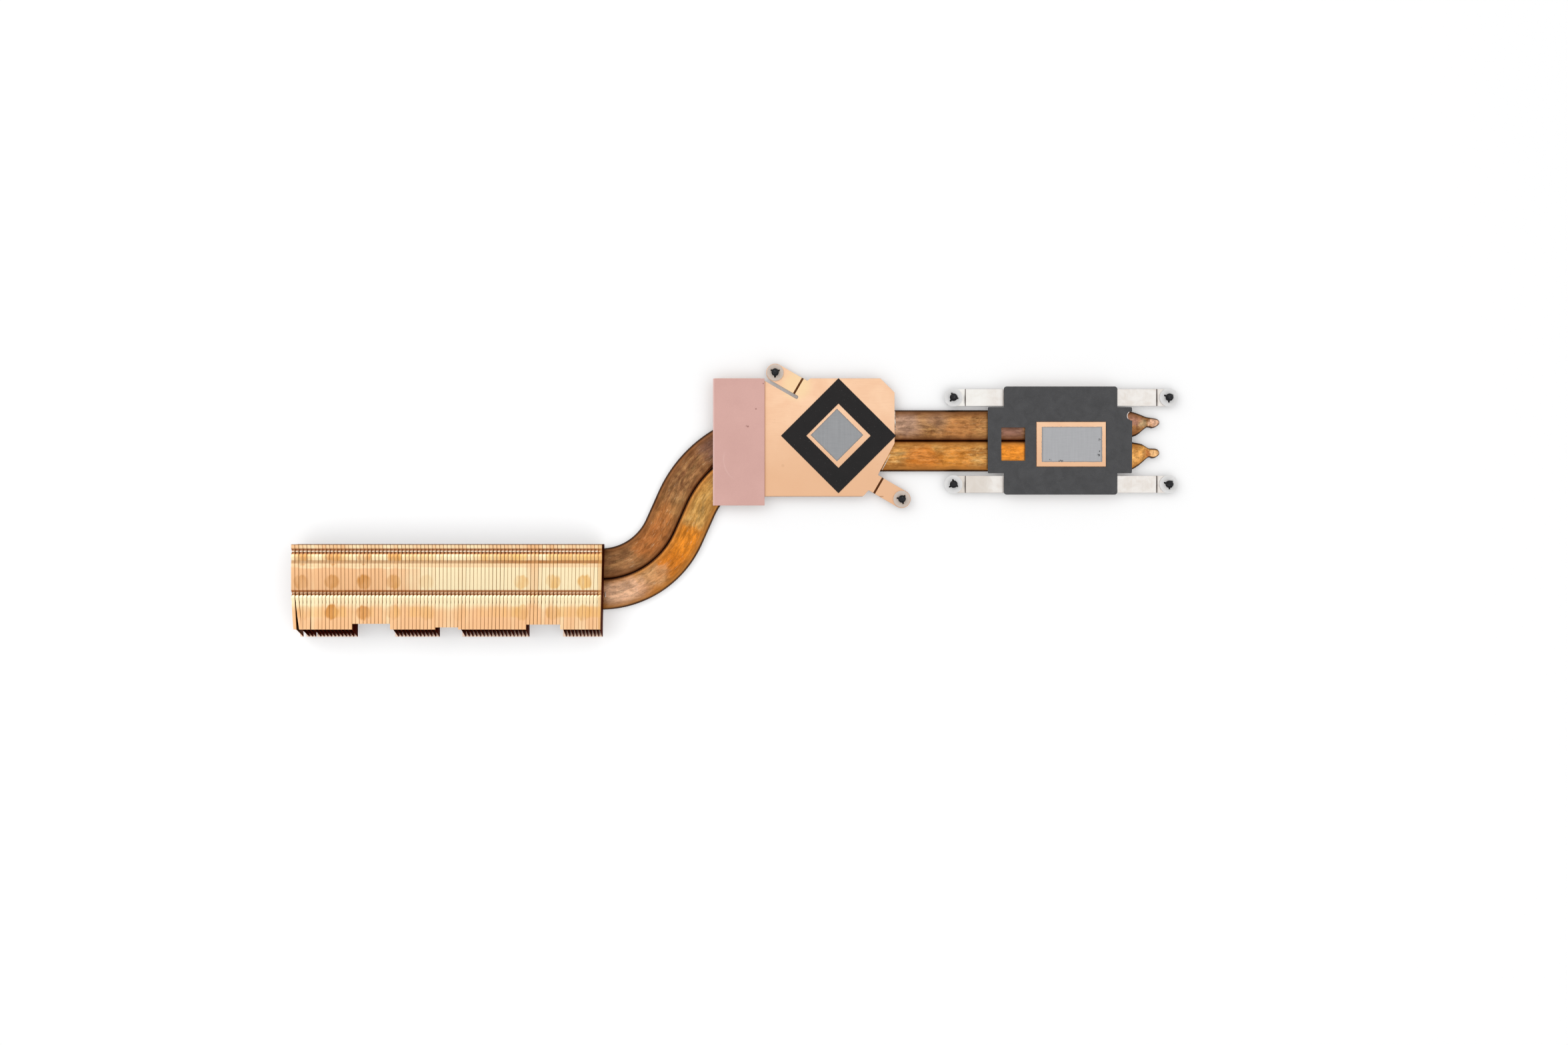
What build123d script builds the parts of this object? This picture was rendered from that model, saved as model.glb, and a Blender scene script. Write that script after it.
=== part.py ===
"""Laptop heatsink: two flat heat pipes that carry heat from two contact plates to a fin stack.

The frame is the one that the mating board sees. X runs along the heatsink, Y across it, and +Z
points out of the contact plates, towards the board. The origin is the middle of the processor's
contact face, on top of its thermal compound. The part lies on the flat undersides of its pipes.
"""
from build123d import *
from math import cos, radians, sin
import os

os.makedirs("parts", exist_ok=True)

# Heights, stacked down from the contact face
compound_thickness = 0.1
cpu_boss_height = 0.5
cpu_plate_thickness = 1.0
pipe_thickness = 2.2
gpu_plate_thickness = 0.8
film_thickness = 0.2
pad_thickness = 1.0
fin_height = 8.0

cpu_boss_top = -compound_thickness
cpu_plate_top = cpu_boss_top - cpu_boss_height
pipe_top = cpu_plate_top - cpu_plate_thickness
pipe_bottom = pipe_top - pipe_thickness
gpu_plate_top = pipe_top + gpu_plate_thickness

# Heat pipes: 6 mm tube pressed flat, side by side, with an S-bend between fins and plates
pipe_width = 8.2
pipe_gap = 0.05
pipe_end_inset = 2.1
pipe_edge_facets = 4
plates_seam_y = 1.0
fins_seam_y = -36.15
bend_angle = 66
fin_bend_radius = 21.5
plate_bend_radius = 28.6
bend_end_x = -77.0
pipe_taper_start_x = 15.2
pipe_neck_length = 3.4
pipe_neck_width = 2.7
pipe_neck_thickness = 1.9
pipe_neck_shift = 0.85
pipe_neck_rounding = 0.6

# Pinched end of a pipe: how far along the taper, and the shares there of the loss of width and
# of the shift sideways
pipe_taper_length = 5.0
pipe_taper_stations = ((0, 0, 0), (0.42, 0.34, 0.28), (0.72, 0.65, 0.6), (1, 1, 1))

pipe_spacing = (pipe_width + pipe_gap) / 2
bend_rise = (fin_bend_radius + plate_bend_radius) * (1 - cos(radians(bend_angle)))
bend_slope = (plates_seam_y - fins_seam_y - bend_rise) / sin(radians(bend_angle))
bend_reach = (fin_bend_radius + plate_bend_radius) * sin(radians(bend_angle))
bend_start_x = bend_end_x - bend_reach - bend_slope * cos(radians(bend_angle))

# Fin stack: sheets folded into a C, open towards -X, each hooked into the next
fin_pitch = 1.007
fin_sheet = 0.2
fin_bend = 0.3
fin_clearance = 0.03
stack_right_x = -125.05
stack_inlet_y = -26.75
exhaust_near_y = -49.3
exhaust_far_y = -51.6
hook_depth = 0.42
hook_length = 0.9
hook_rows_y = (-28.6, -39.4)

# Banks from the right end: the number of fins in each, and the edge of those cut short
bank_counts = {
    "fins_inner": 11,
    "fins_inner_notch": 9,
    "fins_middle": 18,
    "fins_middle_notch": 6,
    "fins_outer": 12,
    "fins_outer_notch": 10,
    "fins_end": 10,
}
inner_notch_y = -48.0
middle_notch_y = -48.75
outer_notch_y = -47.8

# Crushed fins at the left end, from the right: how far each leans at the exhaust and how much
# of its flange is left there, both as a share of the pitch
crushed_fins = ((-0.1, 0.46), (0.05, 0.54), (0.35, 0.52), (0.77, 0.34), (1.29, 0.9), (0.56, 0.82))
crush_start_y = -40.2
crush_middle_y = -45.4
crush_middle_share = 0.38

stack_top = pipe_top + fin_height
fin_reach = fin_pitch - fin_clearance
fin_count = sum(bank_counts.values()) + len(crushed_fins)
stack_left_x = stack_right_x - fin_count * fin_pitch
pipe_start_x = stack_left_x + pipe_end_inset
bank_edges = {
    "fins_inner_notch": inner_notch_y,
    "fins_middle_notch": middle_notch_y,
    "fins_outer_notch": outer_notch_y,
}

# Processor base plate, under its insulating film
cpu_plate_left_x = -17.7
cpu_plate_right_x = 12.1
cpu_plate_low_y = -13.2
cpu_plate_high_y = 15.2
cpu_plate_corner = 0.7
cpu_boss_x = 18.5
cpu_boss_y = 11.9
pipe_window_left_x = -18.7
pipe_window_right_x = -12.3
pipe_window_low_y = -4.4
pipe_window_high_y = 4.5
plate_window_margin = 0.3
cpu_compound_x = 16.3
cpu_compound_y = 9.5
cpu_compound_offset = (0.2, -0.05)

# Insulating film of the processor plate
film_overhang = 0.3
film_corner = 0.7
film_window_margin = 0.1
film_neck_left_x = -22.3
film_neck_right_x = 16.3
film_neck_low_y = -7.75
film_neck_high_y = 9.95
film_bite_radius = 1.25
film_bite_y = 7.6

# Spring strips under the wings of the processor plate
strip_width = 4.6
strip_thickness = 0.6
strip_step = 0.35
strip_riser = 0.6
strip_bend_to_screw = 3.4
cpu_screw_spacing_x = 57.8
cpu_screw_spacing_y = 23.3
cpu_screws_x = -2.55
cpu_screws_y = 0.95

strip_top = pipe_top
strip_tab_top = strip_top - strip_step

# Graphics plate: one sheet with two arms bent down out of it
gpu_x = -62.3
gpu_y = 2.3
gpu_plate_left_x = -95.4
gpu_plate_right_x = -47.25
gpu_plate_low_y = -14.0
gpu_plate_high_y = 17.7
gpu_plate_chamfer = 3.8
gpu_slant_high_y = 0.3
gpu_slant_low = (-51.4, -7.55)
gpu_relief_width = 0.55
gpu_relief_height = 1.25
gpu_relief_foot = 1.3
gpu_wing_right_x = -82.6
gpu_wing_low_y = -16.1
arm_width = 4.8
arm_angle = 150
arm_step = 0.5
arm_riser = 0.6
arm_bend_to_screw = 7.5
arm_root = 1.2
arm_slot = 0.93
arm_slot_depth = 0.77
gpu_screw_circle = 48.0
gpu_screw_angle = 135

arm_top = gpu_plate_top - arm_step

# Diamond film, compound and the memory pad on the graphics plate
gpu_film_side = 21.8
gpu_film_window = 12.2
gpu_compound_side = 10.1
gpu_compound_offset = (-0.4, 0.2)
pad_left_x = -95.9
pad_right_x = -82.1
pad_low_y = -16.4
pad_high_y = 17.6

# Captive M2 screws and the clear washers that keep them in their holes
screw_radius = 1.0
screw_rise = 2.6
screw_neck_radius = 0.8
screw_head_radius = 2.2
screw_head_facets = 16
screw_neck_facets = 12
thread_clearance = 0.1
cpu_screw_head = 0.6
gpu_screw_head = 0.7
screw_play = 0.45
screw_hole_radius = 1.3
screw_hole_facets = 16
washer_radius = 2.45
gpu_washer_radius = 2.25
washer_thickness = 0.5
washer_hole_radius = 0.87
washer_gap = 0.05
washer_lobe_width = 0.55
washer_lobe_reach = 1.35
washer_lobe_count = 3
washer_facets = 24


def finish(piece, name):
    """Labels a finished piece and writes it to its own file."""
    piece.part.label = name
    export_step(piece.part, f"parts/{name}.step")


def screw_places_cpu():
    """Gives each processor screw's name and place."""
    places = []
    for row, side_y in (("upper", 1), ("lower", -1)):
        for column, side_x in (("left", -1), ("right", 1)):
            x = cpu_screws_x + side_x * cpu_screw_spacing_x / 2
            y = cpu_screws_y + side_y * cpu_screw_spacing_y / 2
            places.append((f"{row}_{column}", x, y))
    return places


def screw_places_gpu():
    """Gives each graphics screw's name and place, opposite each other about the chip."""
    places = []
    for row, angle in (("upper", gpu_screw_angle), ("lower", gpu_screw_angle + 180)):
        x = gpu_x + gpu_screw_circle / 2 * cos(radians(angle))
        y = gpu_y + gpu_screw_circle / 2 * sin(radians(angle))
        places.append((row, x, y))
    return places


def pipe_section(width, thickness):
    """Draws a flattened tube's section: flat faces, with edges rounded by a few facets."""
    radius = thickness / 2
    turns = [180 * i / pipe_edge_facets - 90 for i in range(pipe_edge_facets + 1)]
    edge = [(width / 2 - radius + radius * cos(radians(t)), radius * sin(radians(t))) for t in turns]
    other = [(-x, -y) for x, y in edge]
    Polygon(*edge, *other, align=None)


def heat_pipe(name, side):
    """Sweeps one pipe beside the seam; side is 1 for the pipe above it and -1 below."""
    shift = side * pipe_spacing
    middle_z = pipe_bottom + pipe_thickness / 2
    fins_y = fins_seam_y + shift
    plates_y = plates_seam_y + shift
    neck_x = pipe_taper_start_x + pipe_taper_length
    neck_y = plates_y + pipe_neck_shift
    lost_width = pipe_width - pipe_neck_width
    lost_thickness = pipe_thickness - pipe_neck_thickness
    with BuildPart() as pipe:
        with BuildLine(Plane.XY.offset(middle_z)) as route:
            run_in = Line((pipe_start_x, fins_y), (bend_start_x, fins_y))
            rise = JernArc(run_in @ 1, run_in % 1, radius=fin_bend_radius - shift, arc_size=bend_angle)
            slope = Line(rise @ 1, (rise @ 1) + (rise % 1) * bend_slope)
            JernArc(slope @ 1, slope % 1, radius=plate_bend_radius + shift, arc_size=-bend_angle)
            Line((bend_end_x, plates_y), (pipe_taper_start_x, plates_y))
        with BuildSketch(Plane((pipe_start_x, fins_y, middle_z), x_dir=(0, 1, 0), z_dir=(1, 0, 0))):
            pipe_section(pipe_width, pipe_thickness)
        sweep(path=route.wires()[0])
        for along, narrowed, moved in pipe_taper_stations:
            x = pipe_taper_start_x + along * pipe_taper_length
            y = plates_y + moved * pipe_neck_shift
            with BuildSketch(Plane((x, y, middle_z), x_dir=(0, 1, 0), z_dir=(1, 0, 0))):
                pipe_section(pipe_width - narrowed * lost_width, pipe_thickness - narrowed * lost_thickness)
        loft(ruled=True)
        with BuildSketch(Plane((neck_x, neck_y, middle_z), x_dir=(0, 1, 0), z_dir=(1, 0, 0))):
            pipe_section(pipe_neck_width, pipe_neck_thickness)
        extrude(amount=pipe_neck_length)
        chamfer(pipe.faces().sort_by(Axis.X)[-1].edges(), length=pipe_neck_rounding)
    finish(pipe, name)


def exhaust_plane(near_y, far_y):
    """Gives the plane of the fins' exhaust edges, facing the inlet."""
    return Plane((0, near_y, stack_top), x_dir=(1, 0, 0), z_dir=(0, fin_height, far_y - near_y))


def folded_fin(near_y, far_y):
    """Folds one fin, with its web's outer face at x = 0 and its flanges towards -X."""
    inner = fin_sheet
    with BuildPart() as fin:
        with BuildSketch(Plane.XZ.offset(-stack_inlet_y)) as fold:
            with BuildLine():
                Polyline(
                    (-fin_reach, stack_top),
                    (0, stack_top),
                    (0, pipe_top),
                    (-fin_reach, pipe_top),
                    (-fin_reach, pipe_top + inner),
                    (-inner, pipe_top + inner),
                    (-inner, stack_top - inner),
                    (-fin_reach, stack_top - inner),
                    close=True,
                )
            make_face()
            chamfer(fold.vertices().group_by(Axis.X)[-1], length=fin_bend)
        extrude(amount=stack_inlet_y - min(near_y, far_y))
        split(bisect_by=exhaust_plane(near_y, far_y), keep=Keep.TOP)
        with BuildSketch(Plane.XY.offset(stack_top)):
            with Locations(*[(hook_depth / 2 - fin_reach, y) for y in hook_rows_y]):
                Rectangle(hook_depth, hook_length)
        extrude(amount=-fin_sheet, mode=Mode.SUBTRACT)
    return fin.part


def crushed_fin(web_x, lean, flange):
    """Folds one crushed fin: its outline leans away between the crease and the exhaust."""
    stations = (
        (stack_inlet_y, 0, fin_reach),
        (crush_start_y, 0, fin_reach),
        (crush_middle_y, lean * crush_middle_share, (fin_reach + flange) / 2),
        (exhaust_far_y, lean, flange),
    )
    outer = [(web_x + moved, y) for y, moved, reach in stations]
    tips = [(web_x + moved - reach, y) for y, moved, reach in reversed(stations)]
    inner = [(x - fin_sheet, y) for x, y in outer]
    beyond = [(x - fin_pitch, y) for x, y in tips]
    with BuildPart() as fin:
        with BuildSketch(Plane.XY.offset(pipe_top)):
            with BuildLine():
                Polyline(*outer, *tips, close=True)
            make_face()
        extrude(amount=fin_height)
        with BuildSketch(Plane.XY.offset(pipe_top + fin_sheet)):
            with BuildLine():
                Polyline(*inner, *beyond, close=True)
            make_face()
        extrude(amount=fin_height - 2 * fin_sheet, mode=Mode.SUBTRACT)
        split(bisect_by=exhaust_plane(exhaust_near_y, exhaust_far_y), keep=Keep.TOP)
    return fin.part


def fin_stack():
    """Lays the banks of fins side by side, from the right end to the crushed left end."""
    placed = 0
    for name, count in bank_counts.items():
        if name in bank_edges:
            fin = folded_fin(bank_edges[name], bank_edges[name])
        else:
            fin = folded_fin(exhaust_near_y, exhaust_far_y)
        webs = [(stack_right_x - (placed + i) * fin_pitch, 0, 0) for i in range(count)]
        with BuildPart() as bank:
            with Locations(*webs):
                add(fin)
        finish(bank, name)
        placed += count
    with BuildPart() as crushed:
        for i, (lean, flange) in enumerate(crushed_fins):
            web_x = stack_right_x - (placed + i) * fin_pitch
            add(crushed_fin(web_x, lean * fin_pitch, flange * fin_pitch))
    finish(crushed, "fins_crushed")


def cpu_base_plate():
    """Makes the processor's plate, with its raised contact boss and the notch over the pipes."""
    width = cpu_plate_right_x - cpu_plate_left_x
    depth = cpu_plate_high_y - cpu_plate_low_y
    notch_right = pipe_window_right_x + plate_window_margin
    notch_low = pipe_window_low_y - plate_window_margin
    notch_high = pipe_window_high_y + plate_window_margin
    with BuildPart() as plate:
        with BuildSketch(Plane.XY.offset(pipe_top)) as outline:
            with Locations((cpu_plate_left_x + width / 2, cpu_plate_low_y + depth / 2)):
                Rectangle(width, depth)
            chamfer(outline.vertices(), length=cpu_plate_corner)
            with Locations((notch_right, (notch_low + notch_high) / 2)):
                Rectangle(width, notch_high - notch_low, align=(Align.MAX, Align.CENTER), mode=Mode.SUBTRACT)
        extrude(amount=cpu_plate_thickness)
        with BuildSketch(Plane.XY.offset(cpu_plate_top)):
            Rectangle(cpu_boss_x, cpu_boss_y)
        extrude(amount=cpu_boss_height)
    finish(plate, "cpu_base_plate")


def cpu_insulator():
    """Cuts the processor's film: a sheet with a neck over the pipes at each side."""
    low_x = cpu_plate_left_x - film_overhang
    high_x = cpu_plate_right_x + film_overhang
    low_y = cpu_plate_low_y - film_overhang
    high_y = cpu_plate_high_y + film_overhang
    neck_depth = film_neck_high_y - film_neck_low_y
    window_x = pipe_window_right_x - pipe_window_left_x
    window_y = pipe_window_high_y - pipe_window_low_y
    with BuildPart() as film:
        with BuildSketch(Plane.XY.offset(cpu_plate_top)) as outline:
            with Locations(((low_x + high_x) / 2, (low_y + high_y) / 2)):
                Rectangle(high_x - low_x, high_y - low_y)
            chamfer(outline.vertices(), length=film_corner)
            with Locations(((film_neck_left_x + film_neck_right_x) / 2, film_neck_low_y + neck_depth / 2)):
                Rectangle(film_neck_right_x - film_neck_left_x, neck_depth)
            Rectangle(
                cpu_boss_x + 2 * film_window_margin,
                cpu_boss_y + 2 * film_window_margin,
                mode=Mode.SUBTRACT,
            )
            with Locations((pipe_window_left_x + window_x / 2, pipe_window_low_y + window_y / 2)):
                Rectangle(window_x, window_y, mode=Mode.SUBTRACT)
            with Locations((film_neck_right_x, film_bite_y)):
                Circle(film_bite_radius, mode=Mode.SUBTRACT)
        extrude(amount=film_thickness)
    finish(film, "cpu_insulator")


def stepped_arm(reach, width, thickness, step, riser, root):
    """Bends one arm from the origin along +X, down to the screw hole at its rounded end.

    Its top face starts at z = 0, behind the bend by the length of its root.
    """
    tip = reach + width / 2
    with BuildPart() as arm:
        with BuildSketch(Plane.XZ):
            with BuildLine():
                Polyline(
                    (-root, 0),
                    (0, 0),
                    (riser, -step),
                    (tip, -step),
                    (tip, -step - thickness),
                    (riser, -step - thickness),
                    (0, -thickness),
                    (-root, -thickness),
                    close=True,
                )
            make_face()
        extrude(amount=width / 2, both=True)
        with BuildSketch(Plane.XY.offset(-step - thickness)):
            with Locations((-root, 0)):
                Rectangle(root + reach, width, align=(Align.MIN, Align.CENTER))
            with Locations((reach, 0)):
                Circle(width / 2)
                RegularPolygon(screw_hole_radius, screw_hole_facets, major_radius=False, mode=Mode.SUBTRACT)
        extrude(amount=step + thickness, mode=Mode.INTERSECT)
    return arm.part


def spring_strip(name, side):
    """Makes one spring strip, from screw to screw, with a bent tab at each end."""
    y = cpu_screws_y + side * cpu_screw_spacing_y / 2
    half = cpu_screw_spacing_x / 2 - strip_bend_to_screw
    arm = stepped_arm(strip_bend_to_screw, strip_width, strip_thickness, strip_step, strip_riser, half)
    with BuildPart() as strip:
        with Locations(
            Location((cpu_screws_x + half, y, strip_top), (0, 0, 0)),
            Location((cpu_screws_x - half, y, strip_top), (0, 0, 180)),
        ):
            add(arm)
    finish(strip, name)


def flat(point):
    """Gives a point's place on the plate."""
    return (point.X, point.Y)


def arm_corners(row):
    """Gives an arm's place and angle at its bend, and the four corners of its root.

    The corners run from the bend's left end, as seen along the arm, back into the plate, and the
    same on the right.
    """
    angle = arm_angle if row == "upper" else arm_angle + 180
    along = Vector(cos(radians(angle)), sin(radians(angle)), 0)
    left = Vector(-along.Y, along.X, 0) * arm_width / 2
    screw = [Vector(x, y, 0) for name, x, y in screw_places_gpu() if name == row][0]
    bend = screw - along * arm_bend_to_screw
    inside = bend - along * arm_root
    return bend, angle, (bend + left, inside + left, bend - left, inside - left)


def gpu_plate():
    """Cuts and folds the graphics plate: its outline runs clockwise from its top left corner."""
    upper_bend, upper_angle, upper = arm_corners("upper")
    lower_bend, lower_angle, lower = arm_corners("lower")
    along = Vector(cos(radians(arm_angle)), sin(radians(arm_angle)), 0)
    across = Vector(-along.Y, along.X, 0) * arm_slot
    slot_end = upper[0] - along * arm_slot_depth
    to_edge = (gpu_plate_high_y - (slot_end + across).Y) / along.Y
    slot_mouth = slot_end + across + along * to_edge
    upper_arm = stepped_arm(
        arm_bend_to_screw, arm_width, gpu_plate_thickness, arm_step, arm_riser, arm_root
    )
    with BuildPart() as plate:
        with BuildSketch(Plane.XY.offset(pipe_top)):
            with BuildLine():
                Polyline(
                    (gpu_plate_left_x, gpu_plate_high_y),
                    flat(slot_mouth),
                    flat(slot_end + across),
                    flat(slot_end),
                    flat(upper[0]),
                    flat(upper[2]),
                    flat(upper[3]),
                    (upper[3].X + gpu_relief_width, gpu_plate_high_y),
                    (gpu_plate_right_x - gpu_plate_chamfer, gpu_plate_high_y),
                    (gpu_plate_right_x, gpu_plate_high_y - gpu_plate_chamfer),
                    (gpu_plate_right_x, gpu_slant_high_y),
                    gpu_slant_low,
                    flat(lower[1]),
                    flat(lower[0]),
                    flat(lower[2]),
                    flat(lower[3]),
                    (lower[3].X - gpu_relief_width / 2, lower[3].Y),
                    (lower[3].X - gpu_relief_foot, lower[3].Y - gpu_relief_height),
                    (lower[3].X - gpu_relief_foot - gpu_relief_width, gpu_plate_low_y),
                    (gpu_wing_right_x, gpu_plate_low_y),
                    (gpu_wing_right_x, gpu_wing_low_y),
                    (gpu_plate_left_x, gpu_wing_low_y),
                    close=True,
                )
            make_face()
            with Locations(flat(slot_end + across / 2)):
                Circle(arm_slot / 2, mode=Mode.SUBTRACT)
        extrude(amount=gpu_plate_thickness)
        with Locations(
            Location((upper_bend.X, upper_bend.Y, gpu_plate_top), (0, 0, upper_angle)),
            Location((lower_bend.X, lower_bend.Y, gpu_plate_top), (0, 0, lower_angle)),
        ):
            add(upper_arm)
    finish(plate, "gpu_plate")


def gpu_layers():
    """Makes the diamond film and the square of compound in its window, and the memory pad."""
    with BuildPart() as film:
        with BuildSketch(Plane.XY.offset(gpu_plate_top)):
            with Locations(Location((gpu_x, gpu_y, 0), (0, 0, 45))):
                Rectangle(gpu_film_side, gpu_film_side)
                Rectangle(gpu_film_window, gpu_film_window, mode=Mode.SUBTRACT)
        extrude(amount=film_thickness)
    finish(film, "gpu_insulator")
    with BuildPart() as compound:
        with BuildSketch(Plane.XY.offset(gpu_plate_top)):
            centre = (gpu_x + gpu_compound_offset[0], gpu_y + gpu_compound_offset[1], 0)
            with Locations(Location(centre, (0, 0, 45))):
                Rectangle(gpu_compound_side, gpu_compound_side)
        extrude(amount=compound_thickness)
    finish(compound, "gpu_thermal_compound")
    with BuildPart() as pad:
        width = pad_right_x - pad_left_x
        depth = pad_high_y - pad_low_y
        with BuildSketch(Plane.XY.offset(gpu_plate_top)):
            with Locations((pad_left_x + width / 2, pad_low_y + depth / 2)):
                Rectangle(width, depth)
        extrude(amount=pad_thickness)
    finish(pad, "memory_thermal_pad")


def cpu_compound():
    """Spreads the compound on the processor's boss."""
    with BuildPart() as compound:
        with BuildSketch(Plane.XY.offset(cpu_boss_top)):
            with Locations(cpu_compound_offset):
                Rectangle(cpu_compound_x, cpu_compound_y)
        extrude(amount=compound_thickness)
    finish(compound, "cpu_thermal_compound")


def captive_screw(name, x, y, seat_top, sheet, head):
    """Turns one screw, tip up, through a sheet whose near face is at seat_top.

    Its thread is wider than its neck, so that the washer on the neck keeps it in its hole.
    """
    head_top = seat_top - sheet - screw_play
    thread_start = seat_top + washer_gap + washer_thickness + thread_clearance
    tip = seat_top + screw_rise
    with BuildPart() as screw:
        with BuildSketch(Plane.XY.offset(head_top - head)):
            with Locations((x, y)):
                RegularPolygon(screw_head_radius, screw_head_facets)
        extrude(amount=head)
        with BuildSketch(Plane.XY.offset(head_top)):
            with Locations((x, y)):
                RegularPolygon(screw_neck_radius, screw_neck_facets)
        extrude(amount=thread_start - head_top)
        with BuildSketch(Plane.XY.offset(thread_start)):
            with Locations((x, y)):
                Circle(screw_radius)
        extrude(amount=tip - thread_start)
    finish(screw, name)


def retaining_washer(name, x, y, seat_top, radius):
    """Cuts one clear washer, whose hole has three lobes around the screw's neck."""
    with BuildPart() as washer:
        with BuildSketch(Plane.XY.offset(seat_top + washer_gap)):
            with Locations((x, y)):
                RegularPolygon(radius, washer_facets)
                RegularPolygon(
                    washer_hole_radius, screw_neck_facets, major_radius=False, mode=Mode.SUBTRACT
                )
                with PolarLocations(0, washer_lobe_count, start_angle=90):
                    Rectangle(
                        washer_lobe_reach,
                        washer_lobe_width,
                        align=(Align.MIN, Align.CENTER),
                        mode=Mode.SUBTRACT,
                    )
        extrude(amount=washer_thickness)
    finish(washer, name)


heat_pipe("heat_pipe_upper", 1)
heat_pipe("heat_pipe_lower", -1)
fin_stack()
cpu_base_plate()
cpu_insulator()
cpu_compound()
spring_strip("cpu_spring_upper", 1)
spring_strip("cpu_spring_lower", -1)
gpu_plate()
gpu_layers()
for corner, screw_x, screw_y in screw_places_cpu():
    captive_screw(f"cpu_screw_{corner}", screw_x, screw_y, strip_tab_top, strip_thickness, cpu_screw_head)
    retaining_washer(f"cpu_washer_{corner}", screw_x, screw_y, strip_tab_top, washer_radius)
for row, screw_x, screw_y in screw_places_gpu():
    captive_screw(f"gpu_screw_{row}", screw_x, screw_y, arm_top, gpu_plate_thickness, gpu_screw_head)
    retaining_washer(f"gpu_washer_{row}", screw_x, screw_y, arm_top, gpu_washer_radius)
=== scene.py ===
# %% [markdown]
# # A laptop heatsink: folded fins, pressed pipes and two contact plates
#
# This lesson dresses a measured model of a heatsink so that it looks like the real one on a
# photographer's white table. The model comes first, as a frame that never moves. Every piece
# built below takes its place and size from it, rides on one of its bodies, and hides the plain
# solid that it stands for.

# %% Load the frame
import math
import random

import bmesh
import bpy
from mathutils import Matrix, Vector, noise


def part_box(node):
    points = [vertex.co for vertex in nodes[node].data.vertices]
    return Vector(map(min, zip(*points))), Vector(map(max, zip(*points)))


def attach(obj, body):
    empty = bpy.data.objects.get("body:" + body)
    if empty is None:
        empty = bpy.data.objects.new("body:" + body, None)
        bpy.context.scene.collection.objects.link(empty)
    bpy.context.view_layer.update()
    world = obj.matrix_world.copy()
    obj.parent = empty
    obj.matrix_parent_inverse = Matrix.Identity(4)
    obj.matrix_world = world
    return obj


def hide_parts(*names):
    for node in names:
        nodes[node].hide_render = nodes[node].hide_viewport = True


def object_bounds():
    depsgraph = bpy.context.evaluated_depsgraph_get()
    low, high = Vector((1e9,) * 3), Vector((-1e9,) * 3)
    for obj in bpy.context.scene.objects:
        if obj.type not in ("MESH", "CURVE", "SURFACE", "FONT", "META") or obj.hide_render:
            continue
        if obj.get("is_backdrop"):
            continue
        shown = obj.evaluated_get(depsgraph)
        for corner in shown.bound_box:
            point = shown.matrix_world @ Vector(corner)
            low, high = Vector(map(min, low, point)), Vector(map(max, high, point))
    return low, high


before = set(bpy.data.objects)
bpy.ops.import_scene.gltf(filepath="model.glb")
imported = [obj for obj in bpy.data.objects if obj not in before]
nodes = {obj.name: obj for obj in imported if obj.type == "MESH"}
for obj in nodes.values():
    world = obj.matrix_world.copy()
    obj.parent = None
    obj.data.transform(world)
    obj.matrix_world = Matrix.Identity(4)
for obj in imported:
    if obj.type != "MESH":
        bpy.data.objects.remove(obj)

cad_low, cad_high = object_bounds()
MM = 0.001
print("nodes", len(nodes), "size", [round((b - a) / MM, 1) for a, b in zip(cad_low, cad_high)])

# %% [markdown]
# ## The camera
#
# The photograph looks straight down on the contact side. Its scale and its slight perspective,
# seen in how far the fins' deep edges shift, give the camera's height: 590 mm above the table.
# The camera could be placed by eye, but a named height and a lens worked out from the scale keep
# every part of the picture where it belongs.

# %% Camera
camera_place = Vector((-76.9, -20.96, 586.2)) * MM
camera_data = bpy.data.cameras.new("camera")
camera_data.sensor_width = 36.0
camera_data.lens = 50.28
camera_data.clip_start = 0.01
camera = bpy.data.objects.new("camera", camera_data)
camera.location = camera_place
bpy.context.scene.collection.objects.link(camera)
bpy.context.scene.camera = camera
print("camera over", [round(c / MM, 1) for c in camera_place])

# %% [markdown]
# ## Small helpers for materials
#
# A node tree is easier to read when each node is one short line. These helpers add a node, feed
# it and hand back its output. Lengths in the trees are metres, because they read the object's own
# coordinates.

# %% Node helpers
def add_node(tree, kind, inputs=None, **settings):
    """Adds a shader node, and feeds its inputs with values or with other nodes' outputs."""
    new = tree.nodes.new("ShaderNode" + kind)
    for name, value in settings.items():
        setattr(new, name, value)
    for key, value in (inputs or {}).items():
        if isinstance(value, bpy.types.NodeSocket):
            tree.links.new(value, new.inputs[key])
        else:
            new.inputs[key].default_value = value
    return new


def calc(tree, operation, first, second=0.0, third=0.0):
    """One step of arithmetic."""
    return add_node(tree, "Math", {0: first, 1: second, 2: third}, operation=operation).outputs[0]


def fade(tree, value, start, end):
    """Runs smoothly from 0 at start to 1 at end, whichever of the two is larger."""
    limits = {"Value": value, "From Min": start, "From Max": end}
    return add_node(tree, "MapRange", limits, interpolation_type="SMOOTHSTEP").outputs[0]


def band(tree, value, low, high, soft):
    """Is 1 between low and high, and fades out over soft on both sides."""
    rise = fade(tree, value, low - soft, low)
    fall = fade(tree, value, high + soft, high)
    return calc(tree, "MULTIPLY", rise, fall)


def mix(tree, factor, first, second):
    """Mixes two colours."""
    inputs = {0: factor, 6: first, 7: second}
    return add_node(tree, "Mix", inputs, data_type="RGBA").outputs[2]


def tinted(tree, colour, share, strength, tint):
    """Lays a tint over a colour, where a share is 1 and as strongly as a number says."""
    return mix(tree, calc(tree, "MULTIPLY", share, strength), colour, tint)


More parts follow.
